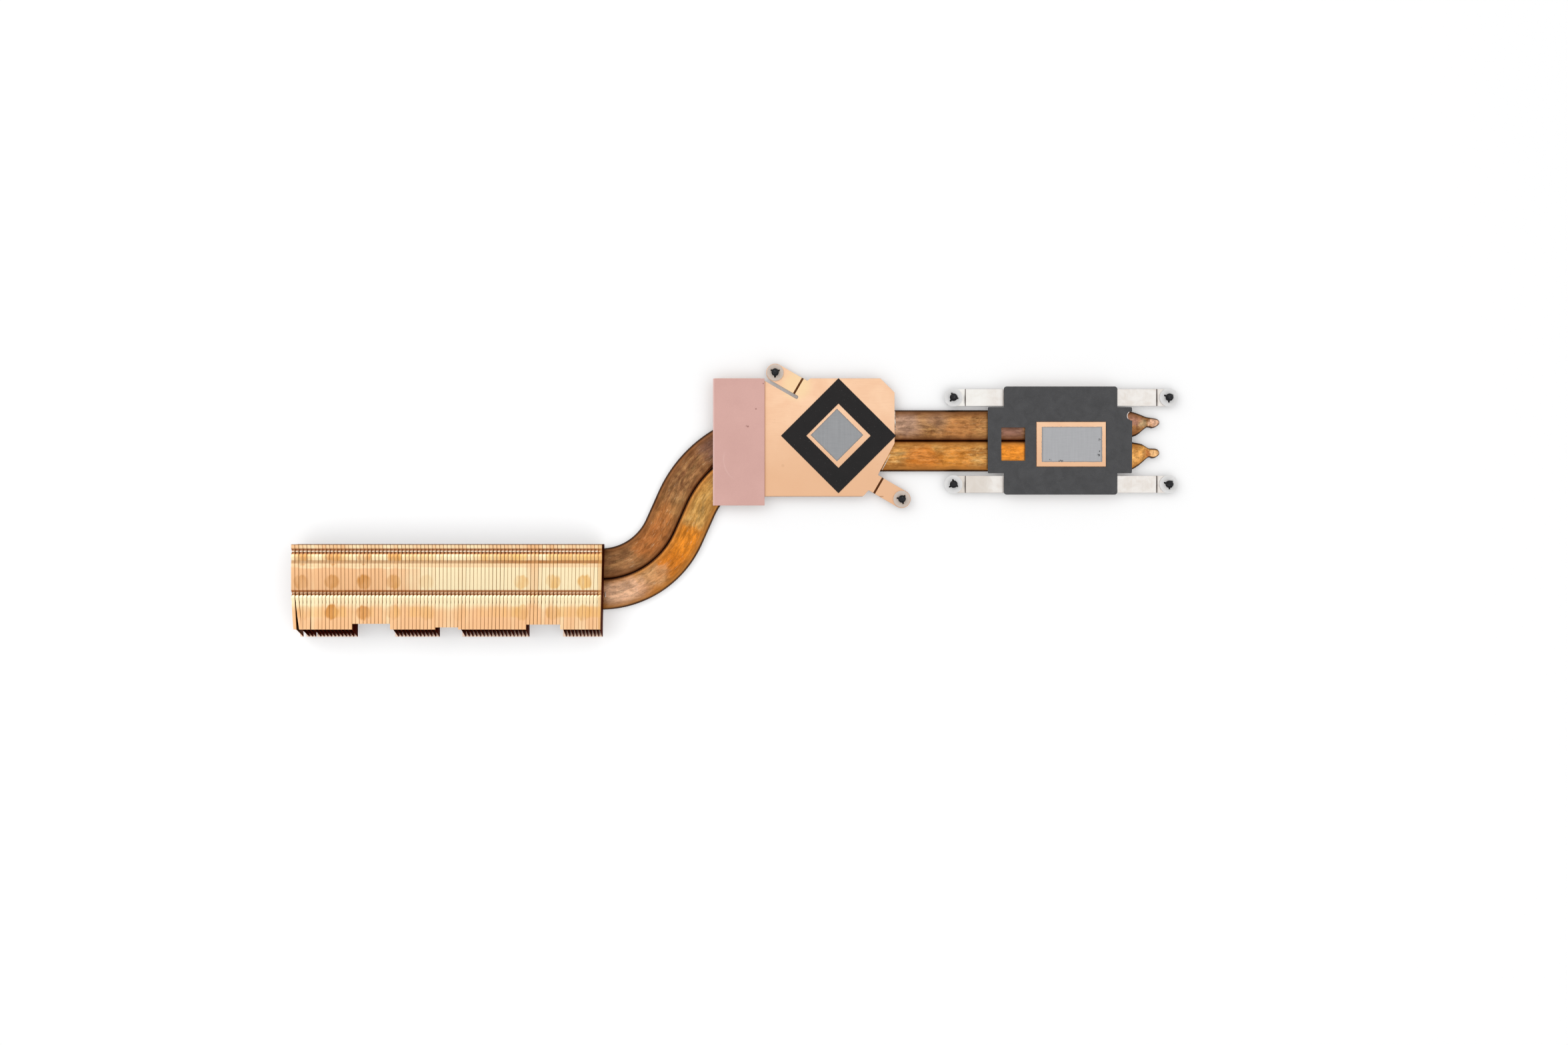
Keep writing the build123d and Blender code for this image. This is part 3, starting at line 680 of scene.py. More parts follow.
def pipe_material(name, seam_side, seam_glint, plain_colour, tarnish_and_shade_colour, golden_tarnish_and_highlight,
                  scratch_colour, patches):
    """Makes tarnished copper with streaks, a painted highlight down the middle, painted shade at the
    edges and tinted patches.
    """
    material, tree, shader = new_material(name, metallic=1.0)
    where, x, y, z = place_of(tree)
    along = own_value(tree, "along")
    across = own_value(tree, "across")
    edge = own_value(tree, "edge")
    flow = add_node(tree, "CombineXYZ", {0: along, 1: across, 2: 0.0}).outputs[0]
    mottle = grain(tree, where, 260.0, 6.0, 0.62, 0.6)
    long_streaks = grain(tree, stretched(tree, flow, (110, 2600, 1)), 1.0, 4.0, 0.6)
    tone = calc(tree, "MULTIPLY_ADD", long_streaks, 0.30, calc(tree, "MULTIPLY", mottle, 0.90))
    colour = mix(tree, fade(tree, tone, 0.44, 0.72), tarnish_and_shade_colour, plain_colour)
    # Golden streaks, kept to the middle of the pipe: streaky tarnish and a painted highlight band.
    middle = fade(tree, edge, 0.0004, 0.0024)
    golden = grain(tree, stretched(tree, flow, (130, 620, 1)), 1.0, 6.0, 0.7, 0.8)
    golden = fade(tree, golden, 0.46, 0.66)
    golden = calc(tree, "MULTIPLY", golden, middle)
    colour = tinted(tree, colour, golden, 0.70, golden_tarnish_and_highlight)
    cloudy = grain(tree, stretched(tree, flow, (150, 340, 1)), 1.0, 6.0, 0.7, 0.9)
    cloudy = fade(tree, cloudy, 0.50, 0.66)
    colour = tinted(tree, colour, cloudy, 0.45, tarnish_and_shade_colour)
    wobble = calc(tree, "MULTIPLY_ADD", grain(tree, where, 260.0, 5.0, 0.65), 0.006, -0.003)
    warp = add_node(tree, "CombineXYZ", {0: wobble, 1: wobble, 2: 0.0}).outputs[0]
    bent = add_node(tree, "VectorMath", {0: where, 1: warp}, operation="ADD").outputs[0]
    for centre, radius, soft, strength, tint in patches:
        share = calc(tree, "MULTIPLY", spot(tree, bent, centre, radius * 0.8, soft * 1.3), strength)
        share = calc(tree, "MULTIPLY", share, calc(tree, "MULTIPLY_ADD", tone, 0.9, 0.50))
        colour = mix(tree, share, colour, tint)
    ripple = grain(tree, stretched(tree, flow, (250, 900, 1)), 1.0, 6.0, 0.78, 0.4)
    ripple = calc(tree, "MULTIPLY_ADD", fade(tree, ripple, 0.30, 0.70), 0.85, 0.50)
    blotches = fade(tree, grain(tree, where, 1000.0, 5.0, 0.65, 0.5), 0.30, 0.70)
    blotches = calc(tree, "MULTIPLY_ADD", blotches, 1.0, 0.48)
    at_end = calc(tree, "MULTIPLY", fade(tree, x, 0.0145, 0.0165), 0.85)
    ripple = add_node(tree, "Mix", {0: at_end, 2: ripple, 3: blotches}, data_type="FLOAT").outputs[0]
    colour = add_node(tree, "VectorMath", {0: colour, "Scale": ripple}, operation="SCALE").outputs[0]
    fine = grain(tree, stretched(tree, flow, (420, 8200, 1)), 1.0, 2.0, 0.5)
    scratched = calc(tree, "MULTIPLY", fade(tree, fine, 0.62, 0.72), fade(tree, mottle, 0.42, 0.58))
    on_bend = calc(tree, "MULTIPLY_ADD", fade(tree, x, -0.080, -0.090), 0.35, 0.30)
    colour = tinted(tree, colour, scratched, on_bend, scratch_colour)
    soot = calc(tree, "MULTIPLY", fade(tree, fine, 0.40, 0.30), fade(tree, mottle, 0.58, 0.46))
    colour = tinted(tree, colour, soot, 0.6, tarnish_and_shade_colour)
    specks = fade(tree, grain(tree, where, 2600.0, 2.0), 0.64, 0.72)
    colour = tinted(tree, colour, specks, 0.35, tarnish_and_shade_colour)
    # The edges and the seam get painted shade: a broad shoulder and a dark rim, in the deep tarnish
    # colour.
    to_edge = calc(tree, "MULTIPLY_ADD", long_streaks, -0.0006, edge)
    at_seam = fade(tree, calc(tree, "MULTIPLY", across, seam_side), 0.001, 0.002)
    abreast = calc(tree, "MULTIPLY", at_seam, fade(tree, x, 0.0155, 0.0150))
    to_edge = calc(tree, "MULTIPLY_ADD", abreast, 0.00030, to_edge)
    painted_shoulder_shade = fade(tree, to_edge, 0.00235, 0.00010)
    painted_shoulder_depth = calc(tree, "MULTIPLY_ADD", fade(tree, x, 0.0170, 0.0200), -0.65, 0.86)
    painted_shoulder_shade = calc(tree, "MULTIPLY", painted_shoulder_shade, painted_shoulder_depth)
    colour = mix(tree, painted_shoulder_shade, colour, tarnish_and_shade_colour)
    rim = fade(tree, to_edge, 0.00026, -0.00010)
    colour = tinted(tree, colour, rim, 0.93, painted_edge_shade)
    glint = calc(tree, "MULTIPLY", band(tree, edge, 0.00008, 0.00022, 0.00008), at_seam)
    glint = calc(tree, "MULTIPLY", glint, fade(tree, x, -0.076, -0.082))
    colour = tinted(tree, colour, glint, seam_glint, (0.42, 0.33, 0.28, 1))
    rough = calc(tree, "MULTIPLY_ADD", mottle, 0.22, 0.26)
    relief = calc(tree, "ADD", calc(tree, "MULTIPLY", long_streaks, 0.6), mottle)
    feed(tree, shader, base_color=colour, roughness=rough, normal=bump(tree, relief, 0.00004, 0.6))
    return material


upper_patches = (
    ((-102.0, -6.5), 7.0, 7.0, 0.40, (0.24, 0.105, 0.055, 1)),
    ((-94.5, 2.5), 5.0, 4.0, 0.95, (0.20, 0.095, 0.062, 1)),
    ((-44.5, 5.6), 1.5, 4.5, 0.75, (0.55, 0.34, 0.24, 1)),
    ((-35.5, 7.6), 1.0, 3.5, 0.50, (0.48, 0.28, 0.18, 1)),
    ((-29.0, 5.0), 2.0, 3.5, 0.45, (0.52, 0.20, 0.06, 1)),
    ((-112.0, -25.5), 3.5, 4.0, 0.75, (0.42, 0.135, 0.035, 1)),
    ((-108.0, -19.5), 2.0, 3.0, 0.60, (0.50, 0.17, 0.045, 1)),
    ((-103.0, -17.0), 2.5, 3.0, 0.45, (0.47, 0.27, 0.10, 1)),
    ((-121.0, -31.5), 4.0, 4.0, 0.55, (0.29, 0.135, 0.062, 1)),
    ((-15.5, 3.5), 3.2, 1.5, 0.85, (0.28, 0.14, 0.10, 1)),
    ((17.0, 6.6), 1.4, 1.4, 0.75, (0.50, 0.25, 0.18, 1)),
    ((17.2, 3.6), 0.6, 1.3, 0.70, (0.34, 0.14, 0.05, 1)),
    ((19.9, 5.9), 0.5, 0.9, 0.45, (0.42, 0.38, 0.24, 1)),
    ((22.9, 6.0), 1.2, 0.9, 0.95, (0.93, 0.56, 0.37, 1)),
)
lower_patches = (
    ((-103.5, -27.0), 4.2, 3.5, 0.95, (0.76, 0.25, 0.025, 1)),
    ((-107.5, -32.5), 3.0, 3.0, 0.85, (0.64, 0.19, 0.018, 1)),
    ((-113.0, -38.0), 2.5, 3.0, 0.70, (0.56, 0.18, 0.025, 1)),
    ((-97.0, -17.0), 4.5, 4.0, 0.60, (0.58, 0.32, 0.085, 1)),
    ((-120.0, -39.5), 5.0, 3.5, 0.80, (0.74, 0.44, 0.28, 1)),
    ((-112.0, -35.0), 3.0, 2.0, 0.50, (0.60, 0.36, 0.19, 1)),
    ((-15.5, -1.8), 3.4, 1.5, 1.00, (0.97, 0.33, 0.040, 1)),
    ((-40.0, -5.0), 3.5, 3.0, 0.60, (0.72, 0.20, 0.020, 1)),
    ((-31.0, -4.5), 3.5, 3.0, 0.50, (0.74, 0.24, 0.022, 1)),
    ((21.2, -2.3), 1.0, 0.8, 0.75, (0.42, 0.13, 0.040, 1)),
    ((17.4, -3.0), 1.6, 1.2, 0.60, (0.86, 0.42, 0.12, 1)),
    ((23.2, -2.2), 1.4, 0.8, 0.95, (0.93, 0.56, 0.26, 1)),
)
pipe_brown = pipe_material(
    "pipe_copper_brown", -1, 0.0, (0.50, 0.235, 0.080, 1), (0.18, 0.070, 0.024, 1),
    (0.62, 0.34, 0.12, 1), (0.86, 0.62, 0.38, 1), upper_patches
)
pipe_gold = pipe_material(
    "pipe_copper_gold", 1, 0.7, (0.72, 0.36, 0.095, 1), (0.37, 0.145, 0.032, 1),
    (0.80, 0.50, 0.20, 1), (0.93, 0.70, 0.45, 1), lower_patches
)
print("patches", len(upper_patches), "and", len(lower_patches))

# %% [markdown]
# ## Heat pipes: the shape
#
# A heat pipe is a round copper tube, bent while it is round, pressed flat and pinched shut at its
# end. A ring of points with the pressed section is carried along the route, one station at a
# time, and joined to the ring before it. That follows the bend as the real metal does, where two
# straight bars with a mitre would not. At the right end the ring narrows to the pinched neck.

# %% Route of a pipe
pipe_width = 8.25
pipe_thick = 2.2
pipe_spacing = 4.125
plates_seam_y = 1.0
fins_seam_y = -36.15
bend_angle = 66.0
fin_bend_radius = 21.5
plate_bend_radius = 28.6
bend_end_x = -77.0
taper_start_x = 15.2
pipe_middle_z = (floor_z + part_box("heat_pipe_upper")[1].z) / 2
bend_step = 2.0
crown = 0.07


def pipe_route(side):
    """Lists a pipe's stations: X, Y, heading and distance, up to where it starts to narrow."""
    shift = side * pipe_spacing
    bend_sum = fin_bend_radius + plate_bend_radius
    turn = math.radians(bend_angle)
    rise = plates_seam_y - fins_seam_y - bend_sum * (1 - math.cos(turn))
    slope = rise / math.sin(turn)
    start_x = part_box("heat_pipe_upper")[0].x / MM
    bend_start_x = bend_end_x - bend_sum * math.sin(turn) - slope * math.cos(turn)
    moves = (
        (bend_start_x - start_x, 0.0, 0.0),
        (0.0, bend_angle, fin_bend_radius - shift),
        (slope, 0.0, 0.0),
        (0.0, -bend_angle, plate_bend_radius + shift),
        (taper_start_x - bend_end_x, 0.0, 0.0),
    )
    x, y, heading, gone = start_x, fins_seam_y + shift, 0.0, 0.0
    stations = [(x, y, heading, gone)]
    for length, angle, radius in moves:
        steps = max(1, round(abs(angle) / bend_step)) if angle else max(2, round(length / 6))
        for _ in range(steps):
            turned = math.radians(angle) / steps
            stride = length / steps if not angle else 2 * radius * math.sin(abs(turned) / 2)
            x += stride * math.cos(heading + turned / 2)
            y += stride * math.sin(heading + turned / 2)
            heading += turned
            gone += stride
            stations.append((x, y, heading, gone))
    return stations


# %% Pinched end of a pipe
# Along the end: distance, the high edge, the low edge from the pipe's own middle, and thickness
upper_end = (
    (0.6, 4.00, -3.72, 2.18),
    (1.3, 3.75, -3.15, 2.16),
    (2.3, 3.43, -2.84, 2.14),
    (3.2, 3.10, -2.30, 2.12),
    (4.1, 2.72, -1.50, 2.08),
    (4.9, 2.38, -0.85, 2.04),
    (5.4, 2.24, -0.55, 2.00),
    (6.0, 2.15, -0.62, 1.98),
    (6.7, 2.07, -0.80, 1.94),
    (7.4, 1.95, -0.62, 1.90),
    (8.1, 1.80, -0.22, 1.84),
)
lower_end = (
    (0.6, 3.98, -3.95, 2.18),
    (1.3, 3.80, -3.68, 2.16),
    (2.2, 3.62, -3.20, 2.14),
    (3.2, 3.47, -2.52, 2.12),
    (4.1, 3.24, -1.80, 2.08),
    (4.9, 2.75, -1.05, 2.04),
    (5.7, 2.22, -0.38, 2.00),
    (6.2, 2.10, -0.34, 1.97),
    (6.8, 2.06, -0.62, 1.94),
    (7.5, 2.02, -0.48, 1.90),
    (8.1, 1.90, -0.15, 1.84),
)
end_rounding = ((0.30, 0.80), (0.55, 0.50), (0.68, 0.20))


def station_place(x, y, heading, width, thick):
    """The placing of a ring: its middle, its turn and its size."""
    turn = Matrix.Rotation(heading, 4, "Z")
    size = Matrix.Diagonal((1.0, width / pipe_width, thick / pipe_thick, 1.0))
    return Matrix.Translation(Vector((x * MM, y * MM, pipe_middle_z))) @ turn @ size


def carry_ring(bm, ring, old_place, new_place, layers, gone, width):
    """Joins a ring to a copy of itself at the next station."""
    along_layer, across_layer, edge_layer = layers
    made = bmesh.ops.extrude_edge_only(bm, edges=ring)["geom"]
    new_verts = verts_of(made)
    bmesh.ops.transform(bm, matrix=new_place @ old_place.inverted(), verts=new_verts)
    for vert in new_verts:
        vert[along_layer] = gone * MM
        vert[edge_layer] = (pipe_width / 2 * MM - abs(vert[across_layer])) * width / pipe_width
    new_edges = [e for e in made if isinstance(e, bmesh.types.BMEdge)]
    return [e for e in new_edges if all(v in new_verts for v in e.verts)]


def pressed_ring(bm, place, across_layer):
    """Draws the section of a pressed tube: a circle, parted in the middle and slightly crowned."""
    ring = bmesh.ops.create_circle(bm, segments=36, radius=pipe_thick / 2 * MM)["verts"]
    bmesh.ops.rotate(bm, matrix=Matrix.Rotation(math.radians(90), 3, "Y"), verts=ring)
    half = (pipe_width - pipe_thick) / 2 * MM
    for side in (1, -1):
        parted = [v for v in ring if v.co.y * side > 1e-7]
        bmesh.ops.translate(bm, vec=(0, side * half, 0), verts=parted)
    bmesh.ops.subdivide_edges(bm, edges=[e for e in bm.edges if e.calc_length() > half / 2], cuts=9)
    for vert in bm.verts:
        bow = 1 - (vert.co.y / (pipe_width / 2 * MM)) ** 2
        vert.co.z *= (pipe_thick / 2 - crown * (1 - bow)) / (pipe_thick / 2)
        vert[across_layer] = vert.co.y
    bmesh.ops.transform(bm, matrix=place, verts=bm.verts)
    return bm.edges[:]


def heat_pipe(name, side, end_shape, material):
    """Carries the pressed section from the fins to the pinched end."""
    bm = bmesh.new()
    along_layer = bm.verts.layers.float.new("along")
    across_layer = bm.verts.layers.float.new("across")
    edge_layer = bm.verts.layers.float.new("edge")
    layers = (along_layer, across_layer, edge_layer)
    stations = [(x, y, h, gone, pipe_width, pipe_thick) for x, y, h, gone in pipe_route(side)]
    last_x, last_y, _, last_gone = stations[-1][:4]
    for gone, high_edge, low_edge, thick in end_shape:
        middle = last_y + (high_edge + low_edge) / 2
        stations.append((last_x + gone, middle, 0.0, last_gone + gone, high_edge - low_edge, thick))
    tip_x, tip_y, _, tip_gone, tip_width, tip_thick = stations[-1]
    for gone, kept in end_rounding:
        stations.append((tip_x + gone, tip_y, 0.0, tip_gone + gone, tip_width * kept, tip_thick * kept))
    first = stations[0]
    stations[0] = (first[0], first[1], first[2], first[3], pipe_width * 0.55, pipe_thick * 0.6)
    stations.insert(1, (first[0] + 1.2, first[1], 0.0, 1.2, pipe_width, pipe_thick))
    place = station_place(*stations[0][:3], *stations[0][4:])
    ring = pressed_ring(bm, place, across_layer)
    start_ring = list(ring)
    for x, y, heading, gone, width, thick in stations[1:]:
        new_place = station_place(x, y, heading, width, thick)
        ring = carry_ring(bm, ring, place, new_place, layers, gone, width)
        place = new_place
    bmesh.ops.holes_fill(bm, edges=ring + start_ring)
    for vert in bm.verts:
        if vert.co.x > (last_x + 1.0) * MM:
            grown = ramp_between(vert.co.x / MM, last_x + 1.0, last_x + 5.0)
            push = noise.noise_vector(vert.co * 900) * 0.07 * MM * grown
            vert.co += Vector((push.x, push.y, push.z * 0.5))
        vert.co.z = max(vert.co.z, floor_z)
    finish_piece(bm, name + "_pressed", material, replaces=[name], smooth=60)


heat_pipe("heat_pipe_upper", 1, upper_end, pipe_brown)
heat_pipe("heat_pipe_lower", -1, lower_end, pipe_gold)

# %% [markdown]
# ## Plate copper
#
# The plates are rolled copper with a satin face. Up close it has fine lines from the rolls and a
# few stains of old flux. It darkens towards its lower edge, with a line of painted shade along that
# edge and a painted shadow beside the pad, and it is more golden at the foot of the upper arm. The
# sloped risers of its bends carry painted shade.

# %% Plate material
plate_copper, tree, shader = new_material("plate_copper", metallic=1.0)
where, x, y, z = place_of(tree)
rolled = grain(tree, stretched(tree, where, (300, 5200, 300)), 1.0, 4.0, 0.6)
clouds = grain(tree, where, 140.0, 3.0, 0.6, 0.4)
tone = calc(tree, "MULTIPLY_ADD", rolled, 0.35, calc(tree, "MULTIPLY", clouds, 0.65))
colour = mix(tree, fade(tree, tone, 0.30, 0.70), (0.88, 0.545, 0.345, 1), (0.95, 0.64, 0.425, 1))
stains = fade(tree, grain(tree, where, 620.0, 4.0, 0.7), 0.64, 0.76)
colour = tinted(tree, colour, stains, 0.35, (0.62, 0.33, 0.18, 1))
mark = spot(tree, where, (-77.2, -5.7), 0.15, 0.45)
colour = tinted(tree, colour, mark, 0.5, (0.40, 0.22, 0.13, 1))
# The sloped risers of the arms' bends carry painted shade.
riser = fade(tree, upward(tree), 0.95, 0.80)
slope_painted_shade = calc(tree, "MULTIPLY", riser, band(tree, z, -0.00128, -0.00082, 0.00004))
golden_arm = calc(tree, "MULTIPLY", spot(tree, where, (-73.6, 15.9), 2.2, 3.0), 0.7)
colour = mix(tree, golden_arm, colour, (0.92, 0.69, 0.40, 1))
towards_foot = fade(tree, y, 0.012, -0.010)
colour = tinted(tree, colour, towards_foot, 0.85, (0.79, 0.47, 0.28, 1))
# A line of painted shade along the plate's lower edge.
plate_foot_y = -0.0140
lower_edge_painted_shade = band(tree, y, plate_foot_y - 0.00005, plate_foot_y + 0.00010, 0.00005)
lower_edge_painted_shade = calc(tree, "MULTIPLY", lower_edge_painted_shade, fade(tree, x, -0.0500, -0.0505))
colour = tinted(tree, colour, lower_edge_painted_shade, 0.75, (0.30, 0.13, 0.06, 1))
# A painted shadow on the plate along the pad's right edge.
pad_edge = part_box("memory_thermal_pad")[1].x
pad_painted_shadow = band(tree, x, pad_edge - 0.0003, pad_edge + 0.00008, 0.00008)
colour = tinted(tree, colour, pad_painted_shadow, 0.6, (0.34, 0.15, 0.07, 1))
colour = tinted(tree, colour, slope_painted_shade, 0.94, (0.13, 0.036, 0.004, 1))
rough = calc(tree, "MULTIPLY_ADD", rolled, 0.16, 0.33)
feed(tree, shader, base_color=colour, roughness=rough, normal=bump(tree, rolled, 0.00001, 0.5))

# %% [markdown]
# ## Plates and spring strips
#
# These pieces already have their true outline in the frame, with their bends, slots and holes.
# What a plain solid lacks is the small rounding that every cut edge has. A copy of each mesh is
# merged, freed of the loose triangles inside its flat faces and bevelled by a few hundredths of a
# millimetre, so that its edges catch a thin line of light.

# %% Spring steel
spring_steel, tree, shader = new_material("spring_steel", metallic=1.0)
where, x, y, z = place_of(tree)
brushed = grain(tree, stretched(tree, where, (5200, 160, 400)), 1.0, 3.0, 0.6)
blotch = grain(tree, where, 420.0, 3.0, 0.6, 0.8)
tone = calc(tree, "MULTIPLY_ADD", brushed, 0.2, calc(tree, "MULTIPLY", blotch, 0.8))
colour = mix(tree, fade(tree, tone, 0.25, 0.75), (0.77, 0.71, 0.655, 1), (0.88, 0.85, 0.815, 1))
left_tabs = calc(tree, "MULTIPLY", fade(tree, x, -0.0200, -0.0240), 0.5)
upper_left = calc(tree, "MULTIPLY", left_tabs, fade(tree, y, -0.002, 0.002))
lower_left = calc(tree, "MULTIPLY", left_tabs, fade(tree, y, 0.002, -0.002))
colour = mix(tree, upper_left, colour, (0.95, 0.95, 0.91, 1))
colour = mix(tree, lower_left, colour, (0.63, 0.555, 0.48, 1))
# The sloped steps at the strips' bend lines carry painted shade.
riser = fade(tree, upward(tree), 0.97, 0.85)
slope_painted_shade = calc(tree, "MULTIPLY", riser, band(tree, z, -0.00176, -0.00162, 0.00004))
colour = tinted(tree, colour, slope_painted_shade, 0.85, (0.12, 0.095, 0.085, 1))
rough = calc(tree, "MULTIPLY_ADD", blotch, 0.16, 0.28)
feed(tree, shader, base_color=colour, roughness=rough, normal=bump(tree, brushed, 0.00001, 0.4))


# %% Bevelled copies
def merged_copy(node):
    """Copies a node's mesh, merges its points and dissolves the lines inside its flat faces."""
    bm = bmesh.new()
    bm.from_mesh(nodes[node].data)
    bmesh.ops.remove_doubles(bm, verts=bm.verts[:], dist=0.002 * MM)
    bmesh.ops.dissolve_limit(bm, angle_limit=math.radians(0.5), verts=bm.verts[:], edges=bm.edges[:])
    return bm


def round_corner(bm, corner, radius):
    """Rounds the upright edges of a sheet that stand near a corner."""
    place = Vector(corner) * MM
    upright = [e for e in bm.edges if (e.verts[0].co.xy - e.verts[1].co.xy).length < 1e-6]
    near = [e for e in upright if (e.verts[0].co.xy - place).length < 0.25 * MM]
    bmesh.ops.bevel(bm, geom=near, offset=radius * MM, offset_type="OFFSET", segments=5, profile=0.5,
                    affect="EDGES", material=-1)
    print("rounded", len(near), "edges near", corner)


def bevelled_copy(node, name, width, material, corners=()):
    """Gives a node's own shape rounded edges, and its outline a few rounder corners."""
    bm = merged_copy(node)
    for corner, radius in corners:
        round_corner(bm, corner, radius)
    bevel_edges(bm, width)
    finish_piece(bm, name, material, replaces=[node], smooth=8)


notch_corners = (((-70.54, 16.98), 0.30), ((-69.98, 17.69), 0.35))
bevelled_copy("gpu_plate", "gpu_plate_bent", 0.05, plate_copper, notch_corners)
bevelled_copy("cpu_base_plate", "cpu_base_plate_milled", 0.06, plate_copper)
bevelled_copy("cpu_spring_upper", "cpu_spring_upper_bent", 0.05, spring_steel)
bevelled_copy("cpu_spring_lower", "cpu_spring_lower_bent", 0.05, spring_steel)

# %% [markdown]
# ## Insulating films
#
# Thin black film keeps the copper from touching the board. The processor's film is dark grey with
# soft mottling, and the graphics film is nearly black with tiny pale specks. Each is cut from a
# sheet: outlines are drawn as closed loops, rounded at their corners, filled with faces that leave
# the windows open, and raised to the film's thickness.

# %% Film materials
def film_material(name, base, pale, speck_share):
    """Makes matt film with mottling and pale specks."""
    material, tree, shader = new_material(name, specular_ior_level=0.25)
    where, x, y, z = place_of(tree)
    mottle = grain(tree, where, 330.0, 5.0, 0.65, 0.5)
    fine = grain(tree, where, 5200.0, 2.0)
    tone = calc(tree, "MULTIPLY_ADD", fine, 0.35, calc(tree, "MULTIPLY", mottle, 0.65))
    colour = mix(tree, fade(tree, tone, 0.25, 0.75), base, pale)
    specks = fade(tree, grain(tree, where, 3300.0, 1.0), 0.70, 0.76)
    colour = tinted(tree, colour, specks, speck_share, (0.30, 0.28, 0.27, 1))
    rough = calc(tree, "MULTIPLY_ADD", mottle, 0.15, 0.50)
    feed(tree, shader, base_color=colour, roughness=rough, normal=bump(tree, fine, 0.00002, 0.5))
    return material


film_grey = film_material("film_grey", (0.047, 0.047, 0.049, 1), (0.076, 0.076, 0.079, 1), 0.10)
film_black = film_material("film_black", (0.006, 0.005, 0.005, 1), (0.012, 0.010, 0.010, 1), 0.20)


# %% [markdown]
# At its right neck the grey film has a round bite, and the cut edge there shines white. The film's
# own colour goes through one more mix for it: a painted highlight in a narrow ring about the bite's
# centre.

# %% Lip of the bite
bite_x, bite_y, bite_radius = 16.36, 7.6, 1.25

tree = film_grey.node_tree
shader = tree.nodes["Principled BSDF"]
where, x, y, z = place_of(tree)
plain_film = shader.inputs["Base Color"].links[0].from_socket
lip_ring = spot(tree, where, (bite_x, bite_y), bite_radius + 0.12, 0.05)
lip_side = calc(tree, "MULTIPLY", fade(tree, x, 0.01568, 0.01545), fade(tree, y, 0.0066, 0.0071))
bite_lip_highlight = mix(tree, calc(tree, "MULTIPLY", lip_ring, lip_side), plain_film, (0.80, 0.72, 0.68, 1))
feed(tree, shader, base_color=bite_lip_highlight)


# %% Cut sheets
def loop_of(bm, points, z, corners):
    """Draws a closed outline and rounds its corners, all alike or each by its own radius."""
    ring = [bm.verts.new(Vector((px, py, z)) * MM) for px, py in points]
    bm.faces.new(ring)
    radii = corners if isinstance(corners, dict) else {number: corners for number in range(len(ring))}
    for number, radius in radii.items():
        if radius:
            bmesh.ops.bevel(bm, geom=[ring[number]], offset=radius * MM, segments=6, profile=0.5,
                            affect="VERTICES", material=-1)


def cut_sheet(loops, low_z, thick, edge):
    """Fills outlines and their windows with one sheet, and raises it."""
    bm = bmesh.new()
    for points, corners in loops:
        loop_of(bm, points, low_z, corners)
    bmesh.ops.delete(bm, geom=bm.faces[:], context="FACES_ONLY")
    bmesh.ops.triangle_fill(bm, edges=bm.edges[:], use_beauty=True, use_dissolve=False)
    raised = bmesh.ops.extrude_face_region(bm, geom=bm.faces[:])["geom"]
    bmesh.ops.translate(bm, vec=(0, 0, thick * MM), verts=verts_of(raised))
    bmesh.ops.recalc_face_normals(bm, faces=bm.faces[:])
    if edge:
        bevel_edges(bm, edge, 1, 60)
    return bm


def rectangle(low_x, low_y, high_x, high_y):
    """The four corners of a rectangle, counter-clockwise."""
    return [(low_x, low_y), (high_x, low_y), (high_x, high_y), (low_x, high_y)]


# %% Processor film
film_low, film_high = (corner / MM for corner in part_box("cpu_insulator"))
boss_gap = 0.1
boss_x = 18.5 / 2 + boss_gap
boss_y = 11.9 / 2 + boss_gap
pipe_window = (-18.7, -4.4, -12.3, 4.5)
wing_left, wing_right = -18.0, 12.4
neck_low, neck_high = -7.75, 9.95
bite_steps = 10

bite = []
for step in range(bite_steps + 1):
    turn = math.radians(-90 - 180 * step / bite_steps)
    bite.append((bite_x + bite_radius * math.cos(turn), bite_y + bite_radius * math.sin(turn)))
film_outline = [
    (wing_left, film_low.y), (wing_right, film_low.y),
    (wing_right, film_high.y), (wing_left, film_high.y),
    (film_low.x, neck_high), (film_low.x, neck_low),
    (film_high.x, neck_low), (film_high.x, neck_high),
    (wing_left, neck_low), (wing_right, neck_low),
    (wing_right, neck_high), (wing_left, neck_high), *bite,
]
film_order = [0, 1, 9, 6, *range(12, 12 + len(bite)), 7, 10, 2, 3, 11, 4, 5, 8]
film_corners = {}
for place, number in enumerate(film_order):
    if number < 8:
        film_corners[place] = 0.75 if number < 4 else 0.3
film_thick = film_high.z - film_low.z
film_bm = cut_sheet(
    [([film_outline[number] for number in film_order], film_corners),
     (rectangle(-boss_x, -boss_y, boss_x, boss_y), 0.1),
     (rectangle(*pipe_window), 0.15)],
    film_low.z, film_thick, 0.03,
)
finish_piece(film_bm, "cpu_insulator_cut", film_grey, replaces=["cpu_insulator"])

# %% Graphics film
chip_x, chip_y = -62.3, 2.3
diamond_low, diamond_high = (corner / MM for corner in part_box("gpu_insulator"))
diamond_half = (diamond_high.x - diamond_low.x) / 2
window_side = 12.2
window_half = window_side / math.sqrt(2)


def diamond(half):
    """The corners of a square that stands on its corner, about the graphics chip."""
    return [(chip_x, chip_y - half), (chip_x + half, chip_y),
            (chip_x, chip_y + half), (chip_x - half, chip_y)]


diamond_bm = cut_sheet([(diamond(diamond_half), 0.12), (diamond(window_half), 0.1)],
                       diamond_low.z, diamond_high.z - diamond_low.z, 0.03)
finish_piece(diamond_bm, "gpu_insulator_cut", film_black, replaces=["gpu_insulator"])
